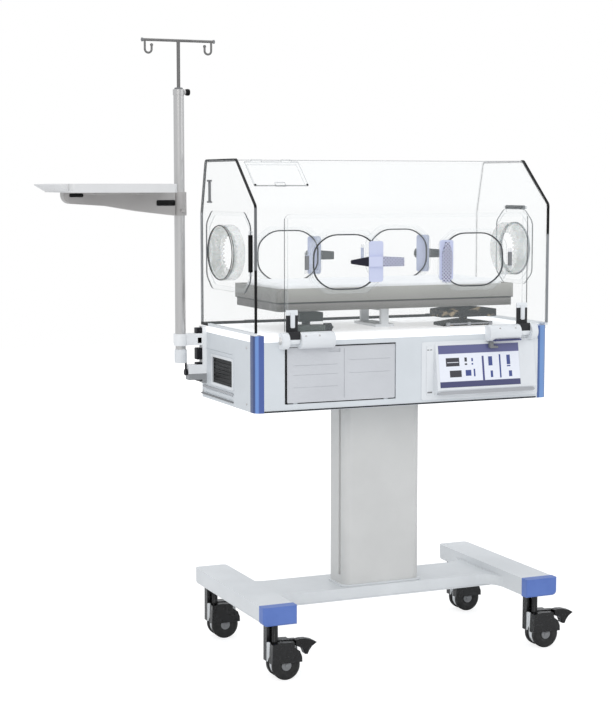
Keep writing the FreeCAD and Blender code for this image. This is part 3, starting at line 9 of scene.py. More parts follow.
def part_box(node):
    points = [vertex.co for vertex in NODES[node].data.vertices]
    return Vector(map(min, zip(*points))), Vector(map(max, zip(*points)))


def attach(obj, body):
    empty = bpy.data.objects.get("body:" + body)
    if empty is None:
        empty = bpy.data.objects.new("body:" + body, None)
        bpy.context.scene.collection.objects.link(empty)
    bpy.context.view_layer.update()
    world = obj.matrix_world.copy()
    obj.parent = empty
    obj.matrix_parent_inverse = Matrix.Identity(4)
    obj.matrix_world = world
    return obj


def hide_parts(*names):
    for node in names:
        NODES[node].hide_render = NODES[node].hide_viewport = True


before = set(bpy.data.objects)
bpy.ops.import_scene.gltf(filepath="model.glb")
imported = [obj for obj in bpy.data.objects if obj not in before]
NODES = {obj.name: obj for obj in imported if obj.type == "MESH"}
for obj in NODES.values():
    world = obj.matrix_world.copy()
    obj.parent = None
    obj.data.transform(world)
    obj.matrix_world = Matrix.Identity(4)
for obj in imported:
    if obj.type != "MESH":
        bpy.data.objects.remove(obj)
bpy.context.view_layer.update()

# An infant incubator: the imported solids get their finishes, and the soft, thin and small pieces
# are made here. Lengths are written in millimetres about the column's centre line on the floor.

COLUMN_LOW, COLUMN_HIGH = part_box("column")
DATUM_X = (COLUMN_LOW[0] + COLUMN_HIGH[0]) / 2
DATUM_Y = COLUMN_HIGH[1] - 0.028
OPEN_END = 9.0
POLE_X, POLE_Y = -524, 181
CHASSIS_END = -450.1
CHASSIS_FRONT = -212.1
PORT_HEIGHT = 1131
CUFF_HEIGHT = 1151


def at(x, y, z):
    return Vector((DATUM_X + x / 1000, DATUM_Y + y / 1000, z / 1000))


def linear(red, green, blue):
    def one(value):
        value /= 255
        return value / 12.92 if value <= 0.04045 else ((value + 0.055) / 1.055) ** 2.4
    return (one(red), one(green), one(blue), 1.0)


# Finishes

class Shade:
    """A socket in a finish's node tree, so that shader maths reads as ordinary expressions."""

    def __init__(self, tree, socket):
        self.tree = tree
        self.socket = socket

    def node(self, kind, settings=None, out=0, **inputs):
        made = self.tree.nodes.new("ShaderNode" + kind)
        stops = (settings or {}).get("stops")
        for name, value in (settings or {}).items():
            if name != "stops":
                setattr(made, name, value)
        if stops:
            ramp = made.color_ramp
            while len(ramp.elements) < len(stops):
                ramp.elements.new(1)
            for element, (place, colour) in zip(ramp.elements, stops):
                element.position = place
                element.color = colour
        for name, value in inputs.items():
            socket = made.inputs[int(name[1:]) if name[1:].isdigit() else name.replace("_", " ")]
            if isinstance(value, Shade):
                self.tree.links.new(value.socket, socket)
            else:
                socket.default_value = value
        return Shade(self.tree, made.outputs[out])

    def math(self, operation, other=0.0, third=0.0, clamp=False):
        return self.node("Math", {"operation": operation, "use_clamp": clamp}, i0=self, i1=other,
                         i2=third)

    def __add__(self, other):
        return self.math("ADD", other)

    def __radd__(self, other):
        return self.math("ADD", other)

    def __sub__(self, other):
        return self.math("SUBTRACT", other)

    def __rsub__(self, other):
        return self.node("Math", {"operation": "SUBTRACT"}, i0=other, i1=self)

    def __mul__(self, other):
        return self.math("MULTIPLY", other)

    def __rmul__(self, other):
        return self.math("MULTIPLY", other)

    def __truediv__(self, other):
        return self.math("DIVIDE", other)

    def limited(self):
        return self.math("ADD", 0.0, clamp=True)

    def between(self, low, high, soft=0.0004):
        """1 where this value lies between two limits, with soft edges."""
        rise = self.node("MapRange", {"interpolation_type": "SMOOTHSTEP"}, Value=self,
                         From_Min=low - soft, From_Max=low + soft)
        fall = self.node("MapRange", {"interpolation_type": "SMOOTHSTEP"}, Value=self,
                         From_Min=high - soft, From_Max=high + soft)
        return rise * (1 - fall)

    def mix(self, first, second):
        """A colour from first to second as this value goes from 0 to 1."""
        return self.node("Mix", {"data_type": "RGBA"}, out=2, i0=self, i6=first, i7=second)


class Finish:
    """One material: a principled surface whose varying values come from Shade expressions."""

    def __init__(self, name, colour, rough=0.5, metal=0.0, **plain):
        self.material = bpy.data.materials.new(name)
        self.material.use_nodes = True
        self.tree = self.material.node_tree
        self.surface = self.tree.nodes["Principled BSDF"]
        self.start = Shade(self.tree, self.surface.outputs[0])
        self.set("Base Color", colour)
        self.set("Roughness", rough)
        self.set("Metallic", metal)
        for key, value in plain.items():
            self.set(key.replace("_", " "), value)

    def set(self, name, value):
        socket = self.surface.inputs[name]
        if isinstance(value, Shade):
            self.tree.links.new(value.socket, socket)
        else:
            socket.default_value = value

    def spot(self):
        """The point on the surface, as a vector in metres."""
        return self.start.node("TexCoord", out=3)

    def place(self):
        """The same point, as its x, y and z values."""
        spot = self.spot()
        return [spot.node("SeparateXYZ", out=index, Vector=spot) for index in range(3)]

    def zone(self, soft=0.0004, **limits):
        """1 between limits along x, y or z, in millimetres as for at(); None is an open end."""
        shares = []
        for axis, (low, high) in limits.items():
            index = "xyz".index(axis)
            start = at(0, 0, 0)[index]
            low = -OPEN_END if low is None else start + low / 1000
            high = OPEN_END if high is None else start + high / 1000
            shares.append(self.place()[index].between(low, high, soft))
        return math.prod(shares[1:], start=shares[0])

    def noise(self, scale, detail=3.0, stretch=(1, 1, 1), rough=0.5):
        spot = self.spot()
        moved = spot.node("Mapping", Vector=spot, Scale=stretch)
        return moved.node("TexNoise", Vector=moved, Scale=scale, Detail=detail, Roughness=rough)

    def relief(self, height, strength=0.2, distance=0.0005):
        self.set("Normal", height.node("Bump", Height=height, Strength=strength,
                                       Distance=distance))


def enamel(name, colour, rough=0.32, wear_and_highlight=0.04, **plain):
    """Smooth painted metal or moulded plastic with a faint cloudiness and orange peel."""
    finish = Finish(name, colour, rough, **plain)
    cloud = finish.noise(9, 4)
    dull = tuple(value * (1 - 2 * wear_and_highlight) for value in colour[:3]) + (1,)
    finish.set("Base Color", ((cloud - 0.35) * 2).limited().mix(dull, colour))
    finish.set("Roughness", rough + (finish.noise(60, 2) - 0.5) * 0.12)
    finish.relief(finish.noise(900, 2), 0.05, 0.0002)
    return finish


WHITE = linear(226, 229, 231)
PANEL_WHITE = linear(220, 225, 229)
DRAWER_GREY = linear(208, 210, 214)
BLUE = linear(72, 104, 186)
CAP_BLUE = linear(88, 118, 190)
STEEL = linear(200, 199, 197)
TRAY_GREY = linear(150, 149, 144)
NAVY = linear(52, 54, 108)


def make_finishes():
    kit = {}
    kit["paint"] = enamel("white paint", WHITE)
    kit["case"] = enamel("chassis paint", PANEL_WHITE, 0.36)
    kit["plastic"] = enamel("white moulding", linear(232, 235, 238), 0.3)
    kit["column"] = enamel("column paint", linear(214, 214, 212), 0.34)
    kit["drawer"] = enamel("drawer front", DRAWER_GREY, 0.42)
    kit["shelf"] = enamel("shelf paint", linear(226, 226, 226), 0.3)
    kit["arm"] = enamel("arm casting", linear(178, 175, 173), 0.38)
    kit["grey"] = enamel("grey moulding", linear(128, 129, 131), 0.5)
    kit["dark"] = enamel("dark moulding", linear(22, 22, 27), 0.42, Specular_IOR_Level=0.22)
    kit["black"] = enamel("black moulding", linear(6, 6, 7), 0.36, Specular_IOR_Level=0.2)
    kit["rim"] = enamel("port seal", linear(40, 42, 46), 0.45, Specular_IOR_Level=0.3)
    kit["band"] = enamel("cuff band", linear(150, 153, 155), 0.45)
    kit["navy"] = enamel("navy moulding", NAVY, 0.45)
    kit["grip"] = grip_finish()
    kit["plate"] = enamel("latch plate", linear(208, 214, 240), 0.3)
    kit["lip"] = enamel("pale console lip", linear(176, 178, 182), 0.4)
    kit["deck"] = enamel("deck moulding", linear(240, 242, 244), 0.5)
    # The deck glows a little, a painted light that lifts it out of the shade under the tray and
    # hood.
    kit["deck"].set("Emission Color", linear(255, 255, 255))
    kit["deck"].set("Emission Strength", 0.5)

    cap = Finish("leg cap moulding", CAP_BLUE, 0.42)
    cap.set("Base Color", cap.noise(22, 3).mix(linear(78, 108, 180), linear(98, 128, 200)))
    cap.relief(cap.noise(600, 2), 0.08, 0.0002)
    kit["cap"] = cap

    kit["trim"] = trim_finish()
    kit["posts"] = post_finish()
    kit["jacks"] = jack_finish()
    kit["arms"] = strap_arm_finish()
    kit["clamp"] = clamp_finish()
    rod = Finish("rod steel", linear(118, 117, 116), 0.36, 0.6)
    rod.set("Base Color", rod.noise(30, 2, (1, 1, 0.03)).mix(linear(98, 97, 96),
                                                            linear(136, 135, 134)))
    kit["rod"] = rod

    steel = Finish("satin steel", STEEL, 0.26, 0.75)
    streak = steel.noise(40, 3, (1, 1, 0.02))
    steel.set("Base Color", streak.mix(linear(168, 166, 164), linear(226, 225, 224)))
    steel.set("Roughness", 0.2 + streak * 0.18)
    kit["steel"] = steel
    alloy = Finish("cast alloy", linear(160, 160, 163), 0.42, 0.8)
    alloy.relief(alloy.noise(300, 3), 0.2, 0.0004)
    alloy.set("Roughness", 0.35 + alloy.noise(40) * 0.25)
    kit["alloy"] = alloy

    clear = Finish("clear acrylic", linear(240, 247, 248), 0.03, Alpha=0.055)
    clear.relief(clear.noise(6, 1), 0.02, 0.001)
    kit["clear"] = clear
    edge = Finish("acrylic edge", linear(40, 42, 45), 0.3, Alpha=0.9, Specular_IOR_Level=0.3)
    edge.set("Base Color", edge.noise(35, 2).mix(linear(24, 26, 29), linear(84, 88, 92)))
    kit["edge"] = edge
    kit["pale_edge"] = Finish("clear acrylic edge", linear(196, 200, 204), 0.2, Alpha=0.28)
    kit["pale_edge"].set("Roughness", 0.16 + kit["pale_edge"].noise(30, 2) * 0.1)
    kit["flap_edge"] = flap_edge_finish()
    soft_edge = Finish("pale acrylic edge", linear(150, 155, 160), 0.25, Alpha=0.5)
    soft_edge.set("Base Color", soft_edge.noise(30, 2).mix(linear(120, 125, 130),
                                                           linear(190, 194, 198)))
    kit["soft_edge"] = soft_edge

    film = Finish("sleeve film", linear(228, 232, 233), 0.4, Subsurface_Weight=0.1)
    folds_and_shade = film.noise(70, 3, (0.4, 1, 0.12))
    # The film darkens where the folds sink: painted shade in the creases, from the noise that also
    # shapes the folds.
    film.set("Base Color", folds_and_shade.mix(linear(158, 166, 160), linear(244, 246, 246)))
    film.set("Alpha", 0.56 - folds_and_shade * 0.52)
    film.relief(folds_and_shade, 0.5, 0.002)
    kit["film"] = film

    tread = Finish("wheel tread", linear(30, 30, 32), 0.4, Specular_IOR_Level=0.3)
    tread.set("Base Color", tread.noise(80, 4).mix(linear(10, 10, 12), linear(52, 52, 51)))
    tread.set("Roughness", 0.3 + tread.noise(30, 3) * 0.35)
    tread.relief(tread.noise(260, 3), 0.2, 0.0004)
    kit["tread"] = tread
    shell = Finish("caster hood", linear(6, 6, 7), 0.22, Coat_Weight=0.2, Coat_Roughness=0.1,
                   Specular_IOR_Level=0.3)
    shell.set("Roughness", 0.18 + shell.noise(50, 3) * 0.16)
    shell.relief(shell.noise(500, 2), 0.06, 0.0002)
    kit["caster"] = shell
    kit["tray"] = tray_finish()
    kit["cloth"] = cloth_finish()
    kit["yoke"] = yoke_finish()
    kit["gasket"] = gasket_finish()
    return kit


def tray_finish():
    """Satin greige metal in two bands, each darker downwards by painted shade, with a dark line of
    painted shade in the groove between them.
    """
    tray = Finish("tray metal", TRAY_GREY, 0.36, 0.3)
    x, y, z = tray.place()
    streak = tray.noise(30, 3, (0.03, 1, 1))
    # Painted shade: each band is lighter at its top and darker below.
    rise = z.node("MapRange", Value=z, From_Min=1.02, From_Max=1.058)
    upper = rise.mix(linear(146, 144, 138), linear(176, 174, 168))
    fall = z.node("MapRange", Value=z, From_Min=0.985, From_Max=1.016)
    lower = fall.mix(linear(88, 86, 83), linear(130, 127, 122))
    base = tray.zone(z=(900, 1018)).mix(upper, lower)
    # A dark line of painted shade in the groove between the bands.
    base = tray.zone(z=(1015.5, 1020.5)).mix(base, linear(46, 45, 43))
    speckle = tray.zone(0.004, x=(None, -336)) * tray.noise(180, 4)
    base = (speckle * 0.8).limited().mix(base, linear(50, 48, 46))
    tray.set("Base Color", ((streak - 0.45) * 0.5).limited().mix(base, linear(205, 203, 198)))
    tray.set("Roughness", 0.3 + streak * 0.16)
    return tray


def grip_finish():
    """Latch levers: a dark point, a pale middle, and a navy grip with a crossed pale hatch."""
    grip = Finish("latch lever", NAVY, 0.45, Specular_IOR_Level=0.3)
    x, y, z = grip.place()
    lines = [(way * 620).math("SINE").between(0.35, 3, 0.25) for way in (x + z, x - z)]
    hatch = (lines[0] + lines[1]).limited().mix(linear(44, 46, 96), linear(206, 208, 224))
    point = grip.zone(0.0006, x=(None, -122))
    middle = grip.zone(0.0006, x=(-122, -80))
    colour = middle.mix(hatch, linear(206, 211, 236))
    grip.set("Base Color", point.mix(colour, linear(20, 20, 38)))
    return grip


def trim_finish():
    """Edging of the hood's ends: black in front and on top, thinner and greyer elsewhere."""
    trim = Finish("hood edging", linear(10, 10, 11), 0.4, Specular_IOR_Level=0.2)
    x, y, z = trim.place()
    knee = at(0, -211, 1284)
    slope = (y - knee.y) * 0.667 - (z - knee.z) * 0.745
    inset = (1.412 - z).math("MINIMUM", y - knee.y).math("MINIMUM", slope + 0.0015)
    left = trim.zone(0.01, x=(None, 0))
    rear = trim.zone(0.01, y=(60, None))
    back_wall = trim.zone(0.001, y=(188, None)) * trim.zone(0.004, z=(0, 1260))
    front_wall = trim.zone(0.001, y=(None, -190))
    colour = rear.mix(linear(8, 8, 9), linear(74, 76, 79))
    colour = back_wall.mix(colour, linear(178, 180, 183))
    left_front = front_wall * left * trim.zone(z=(1113, 1280))
    right_front = front_wall * (1 - left) * trim.zone(z=(900, 1199))
    colour = left_front.mix(colour, linear(104, 106, 109))
    colour = right_front.mix(colour, linear(136, 139, 142))
    trim.set("Base Color", colour)
    near = inset.between(-OPEN_END, 0.0046) * 0.9 + 0.1
    shown = near.math("MAXIMUM", rear * 0.8)
    right_rear = (1 - left) * trim.zone(0.004, y=(-60, None))
    trim.set("Alpha", (shown - right_rear * 0.93).math("MAXIMUM", 0.07))
    trim.set("Roughness", 0.36 + trim.noise(120, 2) * 0.16)
    return trim


def flap_edge_finish():
    """The flap's cut edge, dark near its lower left corner and pale elsewhere."""
    edge = Finish("flap edge", linear(150, 153, 156), 0.3, Alpha=0.6)
    low = edge.zone(0.001, z=(0, 1342))
    corner = edge.zone(0.002, x=(None, -386)) * low
    grey = low.mix(linear(196, 199, 202), linear(118, 121, 124))
    edge.set("Base Color", corner.mix(grey, linear(26, 27, 29)))
    edge.set("Roughness", 0.22 + edge.noise(40, 2) * 0.12)
    return edge


def post_finish():
    """Blue corner posts in upright bands: painted shade on the side faces and painted highlights
    where the left corner turns and down the middle of the right post.
    """
    post = Finish("corner post moulding", BLUE, 0.26, Coat_Weight=0.3, Coat_Roughness=0.12)
    left = post.zone(0.01, x=(None, 0))
    turn = post.zone(0.002, x=(None, -439), y=(None, -203))
    side = post.zone(0.002, y=(-203, None))
    # Painted shade on the side faces, and a painted highlight where the corner turns.
    tint = side.mix(linear(64, 86, 152), linear(42, 62, 108))
    tint = turn.mix(tint, linear(112, 150, 212))
    # A painted highlight down the middle of the right post.
    middle = post.zone(0.002, x=(436, 453))
    other = middle.mix(linear(70, 94, 146), linear(116, 154, 206))
    colour = left.mix(other, tint)
    colour = (post.noise(14, 3) * 0.25).mix(colour, linear(90, 122, 200))
    post.set("Base Color", colour)
    post.relief(post.noise(700, 2), 0.05, 0.0002)
    return post


def jack_finish():
    """The tilt gear: dark green housing on the left, white stand, black gear on the right with tan
    patches of painted highlight.
    """
    gear = Finish("tilt gear", linear(30, 38, 34), 0.45, Specular_IOR_Level=0.25)
    # Tan patches on the right-hand gear are painted highlights.
    wear_and_highlight = ((gear.noise(46, 3, (0.6, 1, 1.6)) - 0.56) * 9).limited()
    right = wear_and_highlight.mix(linear(10, 10, 11), linear(158, 140, 112))
    middle = gear.zone(x=(-60, 90))
    gearbox = gear.zone(x=(None, -190), y=(None, -150))
    colour = gear.zone(x=(None, -100)).mix(right, linear(27, 35, 31))
    colour = gearbox.mix(colour, linear(74, 81, 77))
    gear.set("Base Color", middle.mix(colour, linear(236, 238, 240)))
    gear.set("Roughness", 0.34 + gear.noise(60, 2) * 0.2)
    return gear


def strap_arm_finish():
    """White strap arms with a dark pad on the front of each."""
    arm = Finish("strap arm", linear(232, 235, 238), 0.32)
    pad = arm.zone(0.0006, z=(925, 990)) * arm.zone(y=(None, -215))
    white = arm.noise(9, 3).mix(linear(224, 227, 230), linear(238, 241, 243))
    arm.set("Base Color", pad.mix(white, linear(22, 22, 26)))
    arm.set("Roughness", 0.28 + arm.noise(60, 2) * 0.1)
    return arm


def clamp_finish():
    """The pole's clamp: white, with a grey foot."""
    clamp = Finish("clamp moulding", linear(240, 241, 243), 0.34)
    foot = clamp.zone(0.0006, z=(500, 798))
    white = clamp.noise(9, 3).mix(linear(234, 236, 238), linear(246, 247, 248))
    clamp.set("Base Color", foot.mix(white, linear(150, 152, 154)))
    clamp.set("Roughness", 0.3 + clamp.noise(60, 2) * 0.1)
    return clamp


def cloth_finish():
    """A plain woven sheet: fine threads both ways, soft wrinkles and a little dye cloud."""
    cloth = Finish("cot sheet", linear(232, 236, 240), 0.85, Sheen_Weight=0.15)
    spot = cloth.spot()
    warp = spot.node("TexWave", {"bands_direction": "X"}, Vector=spot, Scale=260.0, Distortion=0.4)
    weft = spot.node("TexWave", {"bands_direction": "Y"}, Vector=spot, Scale=260.0, Distortion=0.4)
    cloth.set("Base Color", cloth.noise(14, 3).mix(linear(240, 241, 242), linear(253, 253, 253)))
    cloth.relief(warp * 0.25 + weft * 0.25 + cloth.noise(30, 4) * 1.5, 0.35, 0.0012)
    return cloth


def yoke_finish():
    """The white middle plate of a caster between its black hoods, told apart across its width."""
    yoke = Finish("caster yoke", linear(225, 227, 228), 0.3)
    x, y, z = yoke.place()
    row = z * 0
    for key in ("fl", "rl"):
        low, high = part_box("caster_%s_yoke" % key)
        middle = (low[1] + high[1]) / 2
        row = row + y.between(middle - 0.0086, middle + 0.0086, 0.0001)
    low_part = 1 - z.between(0.1015, 0.3)
    mask = row * low_part
    yoke.set("Base Color", mask.limited().mix(linear(7, 7, 8), linear(228, 230, 231)))
    yoke.set("Roughness", 0.2 + yoke.noise(50, 3) * 0.16)
    return yoke


def gasket_finish():
    """The seal under the hood: black along the rear, and a white sill on the other sides."""
    gasket = Finish("hood seal", linear(14, 14, 15), 0.45, Specular_IOR_Level=0.3)
    rear = gasket.zone(y=(150, None))
    gasket.set("Base Color", rear.mix(linear(230, 233, 235), linear(10, 10, 11)))
    gasket.set("Roughness", 0.4 + gasket.noise(90, 2) * 0.15)
    return gasket


# Meshes

def mesh_piece(name, verts, faces, finish, body, smooth=35):
    mesh = bpy.data.meshes.new(name)
    mesh.from_pydata([tuple(vert) for vert in verts], [], faces)
    mesh.update()
    item = bpy.data.objects.new(name, mesh)
    bpy.context.scene.collection.objects.link(item)
    return finished(item, finish, body, smooth)


def finished(item, finish, body, smooth=35):
    mesh = item.data
    if mesh.materials:
        mesh.materials.clear()
    mesh.materials.append(finish.material)
    crease = math.radians(smooth)
    tool = bmesh.new()
    tool.from_mesh(mesh)
    bmesh.ops.recalc_face_normals(tool, faces=tool.faces)
    for face in tool.faces:
        face.smooth = True
    for line in tool.edges:
        line.smooth = len(line.link_faces) == 2 and line.calc_face_angle(0) < crease
    tool.to_mesh(mesh)
    tool.free()
    if body:
        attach(item, body)
    return item


def from_tool(name, tool, finish, body, smooth=35):
    mesh = bpy.data.meshes.new(name)
    tool.to_mesh(mesh)
    tool.free()
    item = bpy.data.objects.new(name, mesh)
    bpy.context.scene.collection.objects.link(item)
    return finished(item, finish, body, smooth)


def add_prism(tool, outline, axis, low, high, bevel=0.0, segments=2):
    """A closed outline of (across, up) pairs, drawn out along an axis, in millimetres."""
    def spot(across, up, depth):
        if axis == "x":
            return at(depth, across, up)
        if axis == "y":
            return at(across, depth, up)
        return at(across, up, depth)
    first = [tool.verts.new(spot(a, b, low)) for a, b in outline]
    last = [tool.verts.new(spot(a, b, high)) for a, b in outline]
    count = len(outline)
    faces = [tool.faces.new(first), tool.faces.new(last[::-1])]
    for turn in range(count):
        after = (turn + 1) % count
        faces.append(tool.faces.new((first[turn], last[turn], last[after], first[after])))
    if bevel:
        lines = {line for face in faces for line in face.edges}
        bmesh.ops.bevel(tool, geom=list(lines), offset=bevel / 1000, segments=segments,
                        profile=0.6, affect="EDGES", clamp_overlap=True)


def add_block(tool, x0, x1, y0, y1, z0, z1, bevel=0.0, segments=2):
    add_prism(tool, [(x0, y0), (x1, y0), (x1, y1), (x0, y1)], "z", z0, z1, bevel, segments)


def prism(name, outline, axis, low, high, finish, body, bevel=0.8, segments=2, smooth=35):
    tool = bmesh.new()
    add_prism(tool, outline, axis, low, high, bevel, segments)
    return from_tool(name, tool, finish, body, smooth)


def rounded(outline, radius, steps=4):
    """The outline with each corner replaced by an arc-like run of points."""
    result = []
    count = len(outline)
    for turn in range(count):
        here = Vector(outline[turn])
        before, after = Vector(outline[turn - 1]), Vector(outline[(turn + 1) % count])
        reach = min(radius, (before - here).length * 0.45, (after - here).length * 0.45)
        start = here + (before - here).normalized() * reach
        end = here + (after - here).normalized() * reach
        for step in range(steps + 1):
            part = step / steps
            spot = start * (1 - part) ** 2 + here * 2 * part * (1 - part) + end * part ** 2
            result.append((spot.x, spot.y))
    return result


def rectangle(a0, a1, b0, b1):
    return [(a0, b0), (a1, b0), (a1, b1), (a0, b1)]


def octagon(mid_a, mid_b, width, height, cut):
    half_a, half_b = width / 2, height / 2
    flat_a, flat_b = half_a - cut, half_b - cut * 0.8
    corners = [(flat_a, -half_b), (half_a, -flat_b), (half_a, flat_b), (flat_a, half_b),
               (-flat_a, half_b), (-half_a, flat_b), (-half_a, -flat_b), (-flat_a, -half_b)]
    return [(mid_a + across, mid_b + up) for across, up in corners]


def add_ring(tool, outer, inner, axis, low, high):
    """A flat frame between two outlines with the same number of points."""
    def spot(pair, depth):
        across, up = pair
        if axis == "x":
            return at(depth, across, up)
        if axis == "y":
            return at(across, depth, up)
        return at(across, up, depth)
    rows = [[tool.verts.new(spot(pair, depth)) for pair in outline]
            for outline, depth in ((outer, low), (outer, high), (inner, high), (inner, low))]
    count = len(outer)
    for row in range(4):
        here, there = rows[row], rows[(row + 1) % 4]
        for turn in range(count):
            after = (turn + 1) % count
            tool.faces.new((here[turn], here[after], there[after], there[turn]))


def ring(name, outer, inner, axis, low, high, finish, body, bevel=0.0):
    tool = bmesh.new()
    add_ring(tool, outer, inner, axis, low, high)
    if bevel:
        lines = [line for line in tool.edges if line.calc_face_angle(0) > 0.7]
        bmesh.ops.bevel(tool, geom=lines, offset=bevel / 1000, segments=2, affect="EDGES")
    return from_tool(name, tool, finish, body)


def add_lathe(tool, centre, axis, profile, steps=32):
    """A turned form: profile pairs are (along the axis, out from it), in millimetres."""
    turned = {"x": Matrix(((0, 0, 1), (0, 1, 0), (-1, 0, 0))),
              "y": Matrix(((1, 0, 0), (0, 0, 1), (0, -1, 0))),
              "z": Matrix.Identity(3)}[axis]
    rows = []
    for along, out in profile:
        row = []
        for step in range(steps):
            angle = 2 * math.pi * step / steps
            spot = Vector((out * math.cos(angle), out * math.sin(angle), along))
            row.append(tool.verts.new(at(*centre) + turned @ spot / 1000))
        rows.append(row)
    for here, there in zip(rows, rows[1:]):
        for step in range(steps):
            after = (step + 1) % steps
            tool.faces.new((here[step], here[after], there[after], there[step]))
    tool.faces.new(rows[0][::-1])
    tool.faces.new(rows[-1])


def lathe(name, centre, axis, profile, finish, body, steps=32, smooth=40):
    tool = bmesh.new()
    add_lathe(tool, centre, axis, profile, steps)
    return from_tool(name, tool, finish, body, smooth)


def add_tube(tool, points, radius, steps=10):
    """A round wire through points in millimetres."""
    spots = [at(*point) for point in points]
    rows = []
    side = None
    for turn, spot in enumerate(spots):
        before, after = spots[max(turn - 1, 0)], spots[min(turn + 1, len(spots) - 1)]
        way = (after - before).normalized()
        if side is None:
            side = way.orthogonal().normalized()
        side = (side - way * side.dot(way)).normalized()
        across = way.cross(side)
        row = []
        for step in range(steps):
            angle = 2 * math.pi * step / steps
            out = side * math.cos(angle) + across * math.sin(angle)
            row.append(tool.verts.new(spot + out * radius / 1000))
        rows.append(row)
    for here, there in zip(rows, rows[1:]):
        for step in range(steps):
            after = (step + 1) % steps
            tool.faces.new((here[step], here[after], there[after], there[step]))
    tool.faces.new(rows[0][::-1])
    tool.faces.new(rows[-1])


def tube(name, points, radius, finish, body, steps=10):
    tool = bmesh.new()
    add_tube(tool, points, radius, steps)
    return from_tool(name, tool, finish, body, 50)


def screws(name, places, facing, radius, finish, body):
    """Pan-head screws with a round recess, all in one piece, facing along an axis word."""
    tool = bmesh.new()
    sign = -1 if facing[0] == "-" else 1
    axis = facing[1]
    for place in places:
        profile = [(0, radius), (radius * 0.25, radius * 0.98), (radius * 0.5, radius * 0.75),
                   (radius * 0.62, radius * 0.4), (radius * 0.62, radius * 0.24),
                   (radius * 0.3, radius * 0.2)]
        add_lathe(tool, place, axis, [(sign * along, out) for along, out in profile], 16)
    return from_tool(name, tool, finish, body, 50)


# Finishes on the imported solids

def dress(node, finish):
    item = NODES[node]
    item.data.materials.clear()
    item.data.materials.append(finish.material)


def soften(node, width=0.8, angle=38):
    """Rounds a solid's sharp edges a little, as moulding and paint do."""
    item = NODES[node]
    weld = item.modifiers.new("weld", "WELD")
    weld.merge_threshold = 0.00002
    bevel = item.modifiers.new("softened edges", "BEVEL")
    bevel.width = width / 1000
    bevel.segments = 2
    bevel.limit_method = "ANGLE"
    bevel.angle_limit = math.radians(angle)
    bevel.harden_normals = False
    bevel.miter_outer = "MITER_ARC"


def dress_sheet(node, face_finish, edge_finish, special=(), wall=7.5):
    """A clear sheet: broad faces take one finish and cut edges another. A special is a finish
    and a test of (x, y, z, whether it is an edge), for the faces that differ."""
    item = NODES[node]
    mesh = item.data
    mesh.materials.clear()
    for finish in [face_finish, edge_finish] + [finish for finish, test in special]:
        mesh.materials.append(finish.material)
    verts = [vert.co.copy() for vert in mesh.vertices]
    polygons = [tuple(face.vertices) for face in mesh.polygons]
    tree = BVHTree.FromPolygons(verts, polygons)
    for face in mesh.polygons:
        deep = 0.2
        for share in (0, 0.3, 0.6, 0.85):
            for corner in face.vertices if share else face.vertices[:1]:
                start = face.center.lerp(verts[corner], share) - face.normal * 0.00005
                hit = tree.ray_cast(start, -face.normal, 0.2)
                if hit[0] is not None:
                    deep = min(deep, hit[3])
        is_edge = deep * 1000 > wall
        face.material_index = 1 if is_edge else 0
        spot = (face.center - at(0, 0, 0)) * 1000
        for turn, (finish, test) in enumerate(special):
            if test(spot.x, spot.y, spot.z, is_edge):
                face.material_index = turn + 2
                break


def dress_solids(kit):
    plain = {
        "base_frame": "paint", "front_leg_caps": "cap", "column": "column",
        "chassis_shell": "case", "corner_posts": "posts", "deck": "deck",
        "intake_grille": "black", "control_bezel": "plastic", "fan_motor": "alloy",
        "heater_element": "steel", "hood_hinges": "plastic", "panel_hinge_blocks": "plastic",
        "tilt_jacks": "jacks", "pole_tube": "steel", "pole_clamp": "clamp", "drawer": "drawer",
        "fan_impeller": "grey", "hood_edge_trims": "trim", "hood_base_frame": "gasket",
        "end_sleeve_left": "film", "end_sleeve_right": "film", "panel_arms": "arms",
        "panel_latch_left": "plastic", "panel_latch_right": "plastic",
        "front_port_latch_left": "grip", "front_port_latch_right": "grip",
        "mattress_tray": "tray", "mattress": "cloth", "tilt_post_left": "jacks",
        "tilt_post_right": "jacks", "tilt_knob": "dark", "pole_rod": "rod",
        "pole_lock_knob": "black", "shelf_arm": "arm", "shelf_plate": "shelf",
        "pole_clamp_lever": "dark",
    }
    for key in ("fl", "fr", "rl", "rr"):
        plain["caster_%s_yoke" % key] = "yoke"
        plain["caster_%s_wheels" % key] = "tread"
    for key in ("fl", "fr"):
        plain["caster_%s_brake" % key] = "caster"
    for node, finish in plain.items():
        dress(node, kit[finish])
    clear, edge, pale = kit["clear"], kit["edge"], kit["pale_edge"]
    for node in ("hood_end_left", "hood_end_right", "front_port_frames", "rear_port_frames"):
        dress_sheet(node, clear, pale)
    for node in ("end_door_left", "end_door_right"):
        dress_sheet(node, clear, edge)
    dress_sheet("hood_flap", clear, kit["flap_edge"])
    dress_sheet("hood_shell", clear, edge,
                [(pale, lambda x, y, z, is_edge: is_edge and abs(x - 6) < 430)])
    for node in ("front_port_door_left", "front_port_door_right"):
        dress_sheet(node, clear, pale,
                    [(kit["plate"], lambda x, y, z, is_edge: y < -220.9)])
    for node in ("rear_port_door_left", "rear_port_door_right"):
        dress_sheet(node, clear, pale,
                    [(kit["black"], lambda x, y, z, is_edge: y > 219.4),
                     (kit["plate"], lambda x, y, z, is_edge: y > 215.3)])
    dress_sheet("front_panel", clear, pale,
                [(kit["soft_edge"], lambda x, y, z, is_edge: is_edge and z > 1250),
                 (edge, lambda x, y, z, is_edge: is_edge and (x < -360 or x > 386))])
    dress_overlay(kit)
    for node in ("base_frame", "front_leg_caps", "chassis_shell", "deck", "drawer",
                 "control_bezel", "panel_hinge_blocks", "panel_arms", "pole_clamp", "shelf_plate",
                 "shelf_arm", "mattress_tray", "column"):
        soften(node)
    for key in ("fl", "fr", "rl", "rr"):
        soften("caster_%s_yoke" % key, 0.9)
    for key in ("fl", "fr"):
        soften("caster_%s_brake" % key, 2.0)


